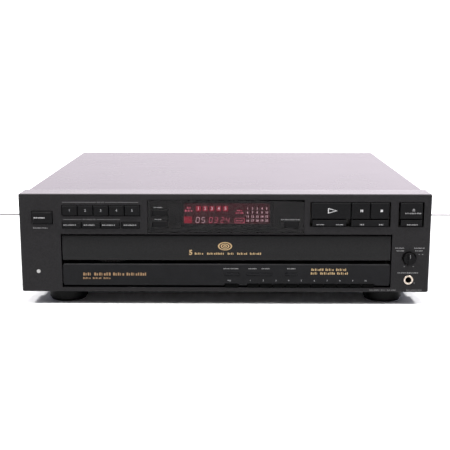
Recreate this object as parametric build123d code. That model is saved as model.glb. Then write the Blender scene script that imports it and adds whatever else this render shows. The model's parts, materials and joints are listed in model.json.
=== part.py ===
from build123d import *
import os
from math import acos, cos, pi, radians, sin, sqrt, tan

# A full-width five-disc carousel player. Millimetres; +X right, +Y to the back, +Z up.
# The origin is on the surface it stands on, below the middle of the whole outline.

# ---------------------------------------------------------------- driving dimensions

# Compact discs and the carousel that carries them
DISC_DIAMETER = 120.0
SMALL_DISC_DIAMETER = 80.0
DISC_THICKNESS = 1.2
DISC_COUNT = 5
POCKET_CLEARANCE = 0.5  # round each disc
POCKET_WALL = 0.8  # least wall between two pockets
RIM_WALL = 1.2  # between a pocket and the rim
POCKET_DEPTH = 3.0
SMALL_POCKET_DEPTH = 2.0  # below the floor of the large pocket
PLATE_THICKNESS = 7.0
SKIRT_HEIGHT = 4.0
SKIRT_THICKNESS = 3.0
DISC_SLOT_WIDTH = 42.0  # for the spindle and the pickup
DOME_RISE = 6.0
DOME_WALL = 2.4
DOME_TOP_WALL = 2.0
DOME_ROUND = 2.5
CAROUSEL_LIFT_OFF = 5.0  # between the drawer's floor and the carousel's skirt

# Drawer
WELL_GAP = 2.3
TRAY_WALL = 2.5
TRAY_FRONT_WALL = 2.0
TRAY_FLOOR = 2.0
TRAY_RIM_RISE = 2.0  # the drawer's deck above the carousel's plate
TRAY_SIDE_GAP = 3.4  # drawer to the edge of the front opening
TRAY_REAR_CUT = 3.0  # the drawer ends this far inside the carousel's rim
HUB_POST_RADIUS = 6.0
HUB_SLEEVE_WALL = 3.0
DOOR_THICKNESS = 8.0
DOOR_CROWN = 0.9
DOOR_BEVEL = 0.8
DOOR_SIDE_GAP = 1.3
DOOR_TOP_GAP = 1.4
DOOR_OVER_DOME = 1.0
DOOR_RECESS = 0.3
DRAWER_HELD = 96.9  # of the drawer, between the rails at full travel

# Front, from the bottom edge up
FOOT_HEIGHT = 14.0
LOWER_BAND = 4.8
STRIP_FLOOR_GAP = 2.5
STRIP_HEIGHT = 23.0
STRIP_DOOR_GAP = 4.1
UPPER_BAND = 42.6
LEFT_COLUMN = 43.0
RIGHT_COLUMN = 40.0

# Case
PANEL_DEPTH = 30.0
PANEL_WALL = 3.0
PANEL_SKIN = 2.5
PANEL_CORNER = 2.5
PANEL_EDGE = 1.6
PANEL_LIP = 9.0  # depth of the moulding's bottom edge
COVER_SHEET = 1.0
COVER_STEP = 3.0  # the cover's sides stand in from the front's sides
COVER_DROP = 0.5
COVER_BEND = 2.5
COVER_GAP = 0.4
CHASSIS_SHEET = 1.2
CHASSIS_RISE = 1.0
CHASSIS_WALL = 12.0
REAR_SPACE = 31.8  # behind the carousel
FOOT_RADIUS = 20.5
FOOT_PAD_STEP = 1.8
FOOT_PAD = 3.0  # height
FOOT_INSET = 23.0  # a foot's outer edge from the side of the front
FOOT_FRONT = 10.5
FOOT_BACK = 22.0

# Keys
KEY_PROUD = 1.2
KEY_BEVEL = 0.7
KEY_GAP = 0.6
KEY_TRAVEL = 1.2
KEY_LIP = 1.0
KEY_LIP_THICKNESS = 1.4
KEY_SEAT = 0.15
STEM_SIDE = 3.0
STEM_LENGTH = 1.6
SWITCH_SIDE = 6.0
BOARD_THICKNESS = 1.6
BOARD_SETBACK = 12.0
PEG_SIDE = 3.4  # pegs that carry the boards
POWER_WIDTH = 21.0
POWER_HEIGHT = 13.0
POWER_PROUD = 2.2
POWER_BEVEL = 1.4
POWER_FROM_SIDE = 13.9
POWER_FROM_TOP = 18.6
DISC_KEY_FROM_SIDE = 45.2
DISC_KEY_FROM_TOP = 12.2
DISC_KEY_HEIGHT = 10.7
DISC_KEY_PITCH = 16.3
SPLIT = 0.5  # between two caps in one opening
MODE_KEY_FROM_TOP = 30.1
MODE_KEY_HEIGHT = 5.8
MODE_KEY_COUNT = 3
MODE_KEY_PITCH = 20.0
REPEAT_FROM_MODES = 2.4
REPEAT_WIDTH = 17.8
WINDOW_FROM_KEYS = 9.2
WINDOW_FROM_TOP = 6.5
WINDOW_HEIGHT = 34.6
WINDOW_RECESS = 0.8
WINDOW_THICKNESS = 2.2
WINDOW_LIP = 1.2
SMALL_KEY_WIDTH = 15.6
SMALL_KEY_HEIGHT = 6.4
SMALL_KEY_INSET = 5.0
SMALL_KEY_DROP = 10.2
SMALL_KEY_PITCH = 11.9
TUBE_WIDTH = 96.0
TUBE_HEIGHT = 27.0
TUBE_THICKNESS = 6.0
TUBE_SHIFT = 1.2
MAIN_BOARD_LEFT = 60.0  # from the drawer's middle
MAIN_BOARD_RIGHT = 150.0
MAIN_BOARD_GAP = 15.0  # to the gear's axis in front and the cam slide behind
MAIN_BOARD_LIFT = 4.0
MAIN_PEG_INSET = 8.0
MAIN_PEG_SIDE = 6.0
MAIN_PARTS = (  # from the board's left and front edges, side and height of each large part
    (88.0, 14.0, 24.0, 3.0),
    (141.0, 67.0, 18.0, 3.0),
    (164.0, 10.0, 12.0, 14.0),
    (46.0, 102.0, 28.0, 4.0),
)
TRANSFORMER_GAP = 3.0
TRANSFORMER_FROM_BACK = 60.0
CORE_DEPTH = 52.0
CORE_HEIGHT = 44.0
WINDING_PROUD = 4.0
WINDING_DEPTH = 32.0
WINDING_HEIGHT = 27.0
TRANSPORT_FROM_SIDE = 42.7
TRANSPORT_FROM_WINDOW = 6.0
TRANSPORT_FROM_TOP = 8.3
TRANSPORT_MARGIN = 1.75
TRANSPORT_HEIGHT = 17.7
TRANSPORT_ROW_GAP = 0.9
LOW_KEY_HEIGHT = 6.8
PLAY_WIDTH = 40.8
PAUSE_WIDTH = 19.8
ROCKER_GAP = 4.6
OPEN_FROM_SIDE = 9.8
OPEN_WIDTH = 23.0
SKIP_INSET = 0.8
LEVEL_FROM_SIDE = 21.6
LEVEL_HEIGHT = 36.9
KNOB_RADIUS = 6.2
KNOB_PROUD = 6.0
KNOB_WELL = 1.4
KNOB_RIDGE = 1.6
SHAFT_RADIUS = 3.0
RUNNING = 0.05  # radial clearance of a shaft in its bore
SOCKET_HEIGHT = 13.8
SOCKET_RADIUS = 3.2
SOCKET_RING_RADIUS = 4.9
SOCKET_PROUD = 0.7
SOCKET_LENGTH = 28.0
SOCKET_BODY = 14.0
LAMP_FROM_SIDE = 18.4
LAMP_HEIGHT = 22.3
LAMP_RADIUS = 2.0
STRIP_THICKNESS = 3.5
STRIP_BEVEL = 1.0
STRIP_RECESS = 0.4
STRIP_SIDE_GAP = 1.8
STRIP_KEY_FROM_TOP = 9.9
STRIP_KEY_HEIGHT = 2.3
STRIP_KEY_RECESS = 0.4
SCAN_WIDTH = 14.7
CHECK_WIDTH = 26.2
PEAK_WIDTH = 12.2
SCAN_FROM_TEN = 0.0
CHECK_FROM_TEN = 23.3
PEAK_FROM_TEN = 63.7
NUMBER_KEY_FROM_SIDE = 173.1  # left end of the first number key, from the strip's right end
TEN_KEY_WIDTH = 14.1
NUMBER_KEY_START = 23.7
NUMBER_KEY_COUNT = 10
NUMBER_KEY_PITCH = 13.5
NUMBER_KEY_SPLIT = 1.2
NUMBER_KEY_HEIGHT = 3.2
NUMBER_KEY_DROP = 1.8  # below the strip's bottom edge
NUMBER_KEY_PROUD = 0.8

# Disc mechanism
RACK_HEIGHT = 4.2
RACK_WIDTH = 5.0
RACK_CLEARANCE = 1.5  # over the control strip
PRESSURE_ANGLE = radians(25)
BACKLASH = 0.22
LOADING_MODULE = 1.5
LOADING_TEETH = 14
WHEEL_MODULE = 1.0
WHEEL_TEETH = 36
PINION_TEETH = 12
WHEEL_THICKNESS = 3.0
WHEEL_LIFT = 0.4  # over its beam
TABLE_MODULE = 1.5
TABLE_RING_TEETH = 48
TABLE_PINION_TEETH = 12
TABLE_GEAR_THICKNESS = 5.0
RACK_TO_SIDE = 31.0  # rack's back from the drawer's side
GEAR_FROM_FRONT = 26.0  # loading gear's axis behind the drawer's front wall
MOTOR_RADIUS = 10.0
TABLE_MOTOR_HEIGHT = 12.0
LOADING_MOTOR_HEIGHT = 17.0
RAIL_WALL = 3.3
RAIL_GAP = 0.8
RAIL_LEDGE = 10.0
RAIL_LIP = 2.2
RAIL_START = 9.0  # behind the drawer's front wall
RAIL_BEHIND_DECK = 8.0
RAIL_LEDGE_THICKNESS = 3.0
RAIL_HOOK = 2.6  # how far the lip reaches over the drawer
FREE_GAP = 1.0  # where nothing guides
DRIVE_BEAM = 2.6
DRIVE_BEAM_HALF = 12.0
DRIVE_BEAM_LENGTH = 105.0
GEAR_PIN_RADIUS = 2.0
CAM_BEAM_WALL = 4.0
CAM_BEAM_RISE = 2.5
CAM_TROUGH = 90.0
BACK_BEAM = 5.0
BACK_BEAM_HEIGHT = 16.0
GUIDE_GAP = 0.3
DISC_LIFT = 4.0
DECK_LENGTH_FRONT = 34.5  # from the spindle
DECK_BEHIND_LENS = 23.5  # from the lens at the end of its travel
DECK_HALF_WIDTH = 46.0
DECK_THICKNESS = 2.5
DECK_BELOW_PLATTER = 13.5
DECK_SKIRT = 10.0
DECK_FRONT_SKIRT = 11.5
SLOT_MARGIN = 6.0
SLOT_AHEAD = 1.0  # of the cam slide
PLATTER_RADIUS = 15.0
PLATTER_THICKNESS = 2.0
CONE_RADIUS = 7.3
CONE_HEIGHT = 2.0
CONE_CLEARANCE = 2.0  # below the carousel when down
SPINDLE_RADIUS = 1.5
LENS_START = 23.0
LENS_FROM_EDGE = 2.0  # lens from the disc's edge, at the end of its travel
PICKUP_HALF_WIDTH = 17.0
PICKUP_LENGTH = 22.0
LENS_RADIUS = 4.0
ARM_THICKNESS = 1.3
LENS_GAP = 1.7  # below the disc
ROD_RADIUS = 1.5
CAM_THICKNESS = 3.0
CAM_RATIO = 2.0  # slide travel for each unit of lift
CAM_PIN_RADIUS = 2.2
CAM_PIN_REACH = 30.0
CAM_SLOT_PLAY = 0.3
POST_RADIUS = 3.0
POST_REACH = 38.0
POST_BACK = 69.0
CLAMPER_RADIUS = 17.0
CLAMPER_NECK = 13.0
CLAMPER_GAP = 0.6
CLAMPER_RECESS = 5.0  # depth of the hollow over the cone
CLAMPER_FLANGE = 2.0
BRIDGE_SHEET = 1.5
BRIDGE_HALF_DEPTH = 25.0
BRIDGE_RISE = 5.4
BRIDGE_FLANGE = 7.0
BRIDGE_LEG = 3.0

# Rear sockets
JACK_PROUD = 9.0
JACK_RADIUS = 4.15
JACK_COLLAR = 0.8  # the collar stands this far out of the rear panel
JACK_COLLAR_RADIUS = 5.4
JACK_HOLE_RADIUS = 1.6
JACK_PITCH = 14.0
JACK_HEIGHT = 52.0
JACK_FROM_SIDE = 66.0
OPTICAL_FROM_SIDE = 104.0
OPTICAL_SIDE = 10.0
GLAND_FROM_SIDE = 30.0
GLAND_HEIGHT = 40.0
GLAND_RADIUS = 7.0
GLAND_BORE = 3.4

# ---------------------------------------------------------------- sizes that follow

# The stack of heights
STRIP_Z0 = FOOT_HEIGHT + LOWER_BAND + STRIP_FLOOR_GAP
STRIP_Z1 = STRIP_Z0 + STRIP_HEIGHT
RACK_Z0 = STRIP_Z1 + RACK_CLEARANCE
TRAY_Z0 = RACK_Z0 + RACK_HEIGHT
FLOOR_Z = TRAY_Z0 + TRAY_FLOOR
SKIRT_Z0 = FLOOR_Z + CAROUSEL_LIFT_OFF
PLATE_Z0 = SKIRT_Z0 + SKIRT_HEIGHT
PLATE_Z1 = PLATE_Z0 + PLATE_THICKNESS
POCKET_Z = PLATE_Z1 - POCKET_DEPTH
SMALL_POCKET_Z = POCKET_Z - SMALL_POCKET_DEPTH
DOME_Z1 = PLATE_Z1 + DOME_RISE
TRAY_Z1 = PLATE_Z1 + TRAY_RIM_RISE
DOOR_Z0 = STRIP_Z1 + STRIP_DOOR_GAP
DOOR_Z1 = DOME_Z1 + DOOR_OVER_DOME
BAY_Z0 = FOOT_HEIGHT + LOWER_BAND
BAY_Z1 = DOOR_Z1 + DOOR_TOP_GAP
TOP_Z = BAY_Z1 + UPPER_BAND
CHASSIS_Z0 = FOOT_HEIGHT + CHASSIS_RISE
CHASSIS_Z1 = CHASSIS_Z0 + CHASSIS_SHEET
COVER_Z1 = TOP_Z - COVER_DROP

# Pockets, carousel and drawer
POCKET_RADIUS = DISC_DIAMETER / 2 + POCKET_CLEARANCE
SMALL_POCKET_RADIUS = SMALL_DISC_DIAMETER / 2 + POCKET_CLEARANCE
POCKET_CIRCLE = (POCKET_RADIUS + POCKET_WALL / 2) / sin(pi / DISC_COUNT)
CAROUSEL_RADIUS = POCKET_CIRCLE + POCKET_RADIUS + RIM_WALL
WELL_RADIUS = CAROUSEL_RADIUS + WELL_GAP
TRAY_HALF_WIDTH = WELL_RADIUS + TRAY_WALL
BAY_WIDTH = 2 * (TRAY_HALF_WIDTH + TRAY_SIDE_GAP)
WIDTH = LEFT_COLUMN + BAY_WIDTH + RIGHT_COLUMN
LEFT = -WIDTH / 2
RIGHT = WIDTH / 2
TRAY_X = LEFT + LEFT_COLUMN + BAY_WIDTH / 2
FRONT_STACK = DOOR_RECESS + DOOR_THICKNESS + TRAY_FRONT_WALL + WELL_GAP
BODY_DEPTH = FRONT_STACK + 2 * CAROUSEL_RADIUS + REAR_SPACE
FRONT_Y = KNOB_PROUD - (KNOB_PROUD + BODY_DEPTH + JACK_PROUD) / 2
BACK_Y = FRONT_Y + BODY_DEPTH
FACE_BACK_Y = FRONT_Y + PANEL_WALL
PANEL_BACK_Y = FRONT_Y + PANEL_DEPTH
BOARD_Y = FRONT_Y + BOARD_SETBACK
TRAY_Y0 = FRONT_Y + DOOR_RECESS + DOOR_THICKNESS
TABLE_Y = FRONT_Y + FRONT_STACK + CAROUSEL_RADIUS
PLAY_Y = TABLE_Y + POCKET_CIRCLE
RIM_Y = TABLE_Y + CAROUSEL_RADIUS
TRAY_Y1 = RIM_Y - TRAY_REAR_CUT
DRAWER_TRAVEL = TRAY_Y1 - TRAY_Y0 - DRAWER_HELD

# Base unit, shown lowered
PLATTER_UP_Z = POCKET_Z + DISC_LIFT
PLATTER_Z = SKIRT_Z0 - CONE_CLEARANCE - CONE_HEIGHT
LIFT = PLATTER_UP_Z - PLATTER_Z
DECK_Z1 = PLATTER_Z - DECK_BELOW_PLATTER
DECK_Z0 = DECK_Z1 - DECK_THICKNESS
DECK_Y0 = PLAY_Y - DECK_LENGTH_FRONT
PICKUP_TRAVEL = DISC_DIAMETER / 2 - LENS_FROM_EDGE - LENS_START
DECK_Y1 = PLAY_Y + LENS_START + PICKUP_TRAVEL + DECK_BEHIND_LENS
CAM_TRAVEL = CAM_RATIO * LIFT
CAM_Y1 = DECK_Y0 - 2.0
CAM_Y0 = CAM_Y1 - CAM_THICKNESS
CAM_PIN_Z = DECK_Z0 - DECK_FRONT_SKIRT + CAM_PIN_RADIUS + 1.3

# Gears
LOADING_RADIUS = LOADING_MODULE * LOADING_TEETH / 2
RACK_X0 = TRAY_X - TRAY_HALF_WIDTH + RACK_TO_SIDE
RACK_X1 = RACK_X0 + RACK_WIDTH  # the rack's pitch line
GEAR_X = RACK_X1 + LOADING_RADIUS
GEAR_Y = TRAY_Y0 + GEAR_FROM_FRONT
MOTOR_X = GEAR_X + WHEEL_MODULE * (WHEEL_TEETH + PINION_TEETH) / 2
WHEEL_Z1 = RACK_Z0 - 0.6
WHEEL_Z0 = WHEEL_Z1 - WHEEL_THICKNESS
RING_RADIUS = TABLE_MODULE * TABLE_RING_TEETH / 2
RING_ROOT = RING_RADIUS + 1.25 * TABLE_MODULE
TABLE_PINION_OFFSET = TABLE_MODULE * (TABLE_RING_TEETH - TABLE_PINION_TEETH) / 2
RING_Z1 = DOME_Z1 - DOME_TOP_WALL - 1.0
RING_Z0 = RING_Z1 - TABLE_GEAR_THICKNESS
DOME_RADIUS = RING_ROOT + DOME_WALL

NODES = {}


# ---------------------------------------------------------------- shared shapes


def block(x0, x1, y0, y1, z0, z1):
    """A box between two corners."""
    middle = Pos((x0 + x1) / 2, (y0 + y1) / 2, (z0 + z1) / 2)
    return middle * Box(x1 - x0, y1 - y0, z1 - z0)


def upright(x, y, z0, z1, radius):
    """A cylinder along Z."""
    return Pos(x, y, (z0 + z1) / 2) * Cylinder(radius, z1 - z0)


def level(x, z, y0, y1, radius):
    """A cylinder along Y."""
    return Pos(x, (y0 + y1) / 2, z) * Rot(90, 0, 0) * Cylinder(radius, y1 - y0)


def slab(rect, y0, y1):
    """A plate behind a rectangle (x0, x1, z0, z1) of the front."""
    return block(rect[0], rect[1], y0, y1, rect[2], rect[3])


def grown(rect, side, upward=None):
    """A rectangle made larger on every side."""
    upward = side if upward is None else upward
    return (rect[0] - side, rect[1] + side, rect[2] - upward, rect[3] + upward)


def front_edges(solid):
    """The edges round the foremost flat face."""
    return solid.faces().sort_by(Axis.Y)[0].edges()


def profile_along_x(points, x0, x1):
    """A closed (y, z) outline swept from x0 to x1."""
    plane = Plane(origin=(x0, 0, 0), x_dir=(0, 1, 0), z_dir=(1, 0, 0))
    return extrude(plane * Polygon(*points, align=None), x1 - x0)


def key_cap(rect, proud=KEY_PROUD, bevel=KEY_BEVEL, above=True, below=True):
    """A push key: bevelled cap, lips that hold it behind the face, and a stem to its switch."""
    lip_y = FACE_BACK_Y + KEY_SEAT
    x0, x1, z0, z1 = rect
    reach = KEY_GAP + KEY_LIP
    cap = slab(rect, FRONT_Y - proud, lip_y + KEY_LIP_THICKNESS)
    cap = chamfer(front_edges(cap), bevel)
    lip = (x0, x1, z0 - reach if below else z0, z1 + reach if above else z1)
    cap += slab(lip, lip_y, lip_y + KEY_LIP_THICKNESS)
    return cap + stem((x0 + x1) / 2, (z0 + z1) / 2)


def stem(x, z):
    """The square peg that reaches from a cap's lip to its switch."""
    y0 = FACE_BACK_Y + KEY_SEAT + KEY_LIP_THICKNESS
    half = STEM_SIDE / 2
    return block(x - half, x + half, y0, y0 + STEM_LENGTH, z - half, z + half)


def switch(x, z):
    """A tact switch on its board, a key's travel behind the stem."""
    y0 = FACE_BACK_Y + KEY_SEAT + KEY_LIP_THICKNESS + STEM_LENGTH + KEY_TRAVEL + 0.3
    half = SWITCH_SIDE / 2
    return block(x - half, x + half, y0, BOARD_Y, z - half, z + half)


def involute(angle):
    return tan(angle) - angle


def gear_outline(teeth, module, tip, root, play, phase, steps=2):
    """A gear's outline: involute flanks between the root and the tip radius.

    tip and root are heights in modules above and below the pitch circle, play is taken off each
    tooth's width at the pitch circle, and phase turns the middle of one tooth away from +X.
    """
    pitch = module * teeth / 2
    base = pitch * cos(PRESSURE_ANGLE)
    low, high = pitch - root * module, pitch + tip * module
    half = pi / (2 * teeth) - play / (2 * pitch) + involute(PRESSURE_ANGLE)
    flank = []
    for step in range(steps):
        radius = low + (high - low) * step / (steps - 1)
        angle = acos(base / radius) if radius > base else 0.0
        flank.append((radius, half - involute(angle)))
    points = []
    for tooth in range(teeth):
        middle = phase + 2 * pi * tooth / teeth
        right = [(r, middle - a) for r, a in flank]
        left = [(r, middle + a) for r, a in reversed(flank)]
        points += [(r * cos(a), r * sin(a)) for r, a in right + left]
    return Polygon(*points, align=None)


def gear(teeth, module, x, y, z0, z1, phase=0.0):
    """An external spur gear on an upright axis."""
    outline = gear_outline(teeth, module, 1.0, 1.25, BACKLASH, phase)
    return extrude(Pos(x, y, z0) * outline, z1 - z0)


def place(name, solid):
    """Keeps a finished piece under its node name."""
    NODES[name] = solid
    return solid


# ---------------------------------------------------------------- places on the front


def from_left(x, top, width, height):
    """A rectangle placed from the front's left and top edges."""
    return (LEFT + x, LEFT + x + width, TOP_Z - top - height, TOP_Z - top)


POWER = from_left(POWER_FROM_SIDE, POWER_FROM_TOP, POWER_WIDTH, POWER_HEIGHT)
DISC_ROW = from_left(
    DISC_KEY_FROM_SIDE, DISC_KEY_FROM_TOP, DISC_COUNT * DISC_KEY_PITCH, DISC_KEY_HEIGHT
)
MODE_ROW = from_left(
    DISC_KEY_FROM_SIDE, MODE_KEY_FROM_TOP, MODE_KEY_COUNT * MODE_KEY_PITCH, MODE_KEY_HEIGHT
)
REPEAT = (
    MODE_ROW[1] + REPEAT_FROM_MODES, MODE_ROW[1] + REPEAT_FROM_MODES + REPEAT_WIDTH,
    MODE_ROW[2], MODE_ROW[3],
)
TRANSPORT_X0 = RIGHT - TRANSPORT_FROM_SIDE - 2 * TRANSPORT_MARGIN - PLAY_WIDTH - 2 * PAUSE_WIDTH
TRANSPORT = (
    TRANSPORT_X0,
    RIGHT - TRANSPORT_FROM_SIDE,
    TOP_Z - TRANSPORT_FROM_TOP - TRANSPORT_HEIGHT - TRANSPORT_ROW_GAP - LOW_KEY_HEIGHT - KEY_GAP,
    TOP_Z - TRANSPORT_FROM_TOP,
)
PLAY_TOP = TOP_Z - TRANSPORT_FROM_TOP - KEY_GAP
PLAY_Z0 = PLAY_TOP - TRANSPORT_HEIGHT + KEY_GAP
PLAY = (TRANSPORT_X0 + TRANSPORT_MARGIN, TRANSPORT_X0 + TRANSPORT_MARGIN + PLAY_WIDTH, PLAY_Z0, PLAY_TOP)
PAUSE = (PLAY[1] + SPLIT, PLAY[1] + PAUSE_WIDTH, PLAY_Z0, PLAY_TOP)
STOP = (PAUSE[1] + SPLIT, PAUSE[1] + PAUSE_WIDTH, PLAY_Z0, PLAY_TOP)
LOW_Z1 = PLAY_Z0 - TRANSPORT_ROW_GAP
LOW_Z0 = LOW_Z1 - LOW_KEY_HEIGHT
SEARCH = (PLAY[0] + 1.0, PLAY[1] - ROCKER_GAP, LOW_Z0, LOW_Z1)
TRACK = (PLAY[1] + SPLIT, STOP[1], LOW_Z0, LOW_Z1)
OPEN = (RIGHT - OPEN_FROM_SIDE - OPEN_WIDTH, RIGHT - OPEN_FROM_SIDE, PLAY_Z0, PLAY_TOP)
SKIP = (OPEN[0] + SKIP_INSET, OPEN[1], LOW_Z0, LOW_Z1)
OPEN_BAY = (OPEN[0] - TRANSPORT_MARGIN, OPEN[1] + TRANSPORT_MARGIN, TRANSPORT[2], TRANSPORT[3])
WINDOW = (
    REPEAT[1] + WINDOW_FROM_KEYS,
    TRANSPORT[0] - TRANSPORT_FROM_WINDOW,
    TOP_Z - WINDOW_FROM_TOP - WINDOW_HEIGHT,
    TOP_Z - WINDOW_FROM_TOP,
)


def small_key(x0, row):
    """One of the thin keys in the window."""
    z1 = WINDOW[3] - SMALL_KEY_DROP - row * SMALL_KEY_PITCH
    return (x0, x0 + SMALL_KEY_WIDTH, z1 - SMALL_KEY_HEIGHT, z1)


TIME = small_key(WINDOW[0] + SMALL_KEY_INSET, 0)
EDIT = small_key(WINDOW[0] + SMALL_KEY_INSET, 1)
FADE = small_key(WINDOW[1] - SMALL_KEY_INSET - SMALL_KEY_WIDTH, 1)
BAY = (LEFT + LEFT_COLUMN, RIGHT - RIGHT_COLUMN, BAY_Z0, BAY_Z1)
STRIP = (BAY[0] + STRIP_SIDE_GAP, BAY[1] - STRIP_SIDE_GAP, STRIP_Z0, STRIP_Z1)
TEN_X = STRIP[1] - NUMBER_KEY_FROM_SIDE
STRIP_KEY_Z1 = STRIP_Z1 - STRIP_KEY_FROM_TOP
KNOB_X = RIGHT - LEVEL_FROM_SIDE
KNOB_Z = FOOT_HEIGHT + LEVEL_HEIGHT
SOCKET_Z = FOOT_HEIGHT + SOCKET_HEIGHT
LAMP_X = LEFT + LAMP_FROM_SIDE
LAMP_Z = FOOT_HEIGHT + LAMP_HEIGHT


def strip_key(offset, width):
    """A thin key in a slot of the strip, placed from the first number key."""
    x0 = TEN_X + offset
    return (x0, x0 + width, STRIP_KEY_Z1 - STRIP_KEY_HEIGHT, STRIP_KEY_Z1)


SCAN = strip_key(SCAN_FROM_TEN, SCAN_WIDTH)
CHECK = strip_key(CHECK_FROM_TEN, CHECK_WIDTH)
PEAK = strip_key(PEAK_FROM_TEN, PEAK_WIDTH)


def number_spans():
    """The left and right end of each key in the number row, the wide first one included."""
    spans = [(TEN_X, TEN_X + TEN_KEY_WIDTH)]
    for index in range(NUMBER_KEY_COUNT):
        x0 = TEN_X + NUMBER_KEY_START + index * NUMBER_KEY_PITCH
        spans.append((x0, x0 + NUMBER_KEY_PITCH - NUMBER_KEY_SPLIT))
    return spans


# ---------------------------------------------------------------- case


def front_panel():
    """The moulded front: a face with openings, and a rim that reaches back over the sheet metal."""
    shell = block(LEFT, RIGHT, FRONT_Y, PANEL_BACK_Y, FOOT_HEIGHT, TOP_Z)
    upright_edges = front_edges(shell).filter_by(Axis.Z)
    shell = fillet(upright_edges, PANEL_CORNER)
    for end in (0, -1):
        rim = shell.faces().sort_by(Axis.Z)[end].edges()
        rim = [e for e in rim if e.center().Y < PANEL_BACK_Y - 1]
        shell = fillet(rim, PANEL_EDGE)
    inner = (LEFT + PANEL_SKIN, RIGHT - PANEL_SKIN, FOOT_HEIGHT + PANEL_SKIN, TOP_Z - PANEL_SKIN)
    shell -= slab(inner, FACE_BACK_Y, PANEL_BACK_Y + 1)
    under = (inner[0], inner[1], FOOT_HEIGHT - 1, FOOT_HEIGHT + PANEL_SKIN + 1)
    shell -= slab(under, FRONT_Y + PANEL_LIP, PANEL_BACK_Y + 1)
    holes = [
        grown(POWER, KEY_GAP), grown(DISC_ROW, KEY_GAP - SPLIT / 2, KEY_GAP),
        grown(MODE_ROW, KEY_GAP - SPLIT / 2, KEY_GAP), grown(REPEAT, KEY_GAP),
        TRANSPORT, OPEN_BAY, grown(WINDOW, COVER_GAP), BAY,
    ]
    for hole in holes:
        shell -= slab(hole, FRONT_Y - 1, FACE_BACK_Y + 1)
    round_holes = [
        (KNOB_X, KNOB_Z, KNOB_RADIUS + KNOB_WELL),
        (KNOB_X, SOCKET_Z, SOCKET_RING_RADIUS + RUNNING),
        (LAMP_X, LAMP_Z, LAMP_RADIUS + RUNNING),
    ]
    for x, z, radius in round_holes:
        shell -= level(x, z, FRONT_Y - 1, FACE_BACK_Y + 1, radius)
    for x, z in peg_places():
        half = PEG_SIDE / 2
        shell += block(x - half, x + half, FACE_BACK_Y, BOARD_Y, z - half, z + half)
    return place("front_panel", shell)


def peg_places():
    """Where pegs on the back of the face carry the boards: in the gaps between openings."""
    gaps = ((POWER, DISC_ROW), (REPEAT, WINDOW), (WINDOW, TRANSPORT), (TRANSPORT, OPEN_BAY))
    middle = (WINDOW[2] + WINDOW[3]) / 2
    return [((a[1] + b[0]) / 2, middle) for a, b in gaps] + [(KNOB_X + 11.5, KNOB_Z - 5)]


def display_window():
    """The smoked window, held by a lip behind the face, with holes for its three keys."""
    y0 = FRONT_Y + WINDOW_RECESS
    window = slab(WINDOW, y0, FACE_BACK_Y)
    window += slab(grown(WINDOW, WINDOW_LIP), FACE_BACK_Y, FACE_BACK_Y + WINDOW_LIP)
    for key in (TIME, EDIT, FADE):
        window -= slab(grown(key, KEY_GAP / 2), y0 - 1, FACE_BACK_Y + WINDOW_LIP + 1)
    return place("display_window", window)


def window_key(name, rect):
    """A thin key that comes through the window, with its lip behind it."""
    lip_y = FACE_BACK_Y + WINDOW_LIP + KEY_SEAT
    x0, x1, z0, z1 = rect
    cap = slab(rect, FRONT_Y + WINDOW_RECESS - KEY_PROUD, lip_y + 1.0)
    cap = chamfer(front_edges(cap), KEY_BEVEL)
    cap += slab((x0, x1, z0 - KEY_LIP, z1 + KEY_LIP), lip_y, lip_y + 1.0)
    y1 = FACE_BACK_Y + KEY_SEAT + KEY_LIP_THICKNESS + STEM_LENGTH
    x, z, half = (x0 + x1) / 2, (z0 + z1) / 2, STEM_SIDE / 2
    cap += block(x - half, x + half, lip_y + 1.0, y1, z - half, z + half)
    return place(name, cap)


def control_strip():
    """The glossy strip below the door: bevelled top, three key slots and a notch for the numbers."""
    y0 = FRONT_Y + STRIP_RECESS
    y1 = y0 + STRIP_THICKNESS
    outline = [
        (y0 + STRIP_BEVEL, STRIP_Z1), (y0, STRIP_Z1 - STRIP_BEVEL), (y0, STRIP_Z0),
        (y1, STRIP_Z0), (y1, STRIP_Z1),
    ]
    strip = profile_along_x(outline, STRIP[0], STRIP[1])
    for key in (SCAN, CHECK, PEAK):
        strip -= slab(grown(key, KEY_GAP / 2), y0 - 1, y1 + 1)
    notch_z1 = STRIP_Z0 - NUMBER_KEY_DROP + NUMBER_KEY_HEIGHT + KEY_GAP / 2
    for x0, x1 in number_spans():
        notch = (x0 - KEY_GAP / 2, x1 + KEY_GAP / 2, STRIP_Z0 - 1, notch_z1)
        strip -= slab(notch, y0 - 1, y1 + 1)
    for x0, x1 in ((BAY[0] - 1.5, STRIP[0] + 4), (STRIP[1] - 4, BAY[1] + 1.5)):
        strip += block(x0, x1, FACE_BACK_Y, y1, STRIP_Z0 + 1, STRIP_Z1 - 2)
    for x in (TEN_X - 4, number_spans()[-1][1] + PEG_SIDE):
        strip += block(x, x + PEG_SIDE, y1, BOARD_Y, STRIP_Z1 - 2 - PEG_SIDE, STRIP_Z1 - 2)
    return place("control_strip", strip)


def strip_cap(name, rect):
    """A thin key in the strip, with lips above and below and its stem."""
    y0 = FRONT_Y + STRIP_RECESS - STRIP_KEY_RECESS
    lip_y = FRONT_Y + STRIP_RECESS + STRIP_THICKNESS + KEY_SEAT
    cap = slab(rect, y0, lip_y + 1.0)
    cap += slab((rect[0], rect[1], rect[2] - KEY_LIP, rect[3] + KEY_LIP), lip_y, lip_y + 1.0)
    x, z, half = (rect[0] + rect[1]) / 2, (rect[2] + rect[3]) / 2, STEM_SIDE / 2
    y1 = FACE_BACK_Y + KEY_SEAT + KEY_LIP_THICKNESS + STEM_LENGTH
    cap += block(x - half, x + half, lip_y + 1.0, y1, z - half, z + half)
    return place(name, cap)


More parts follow.
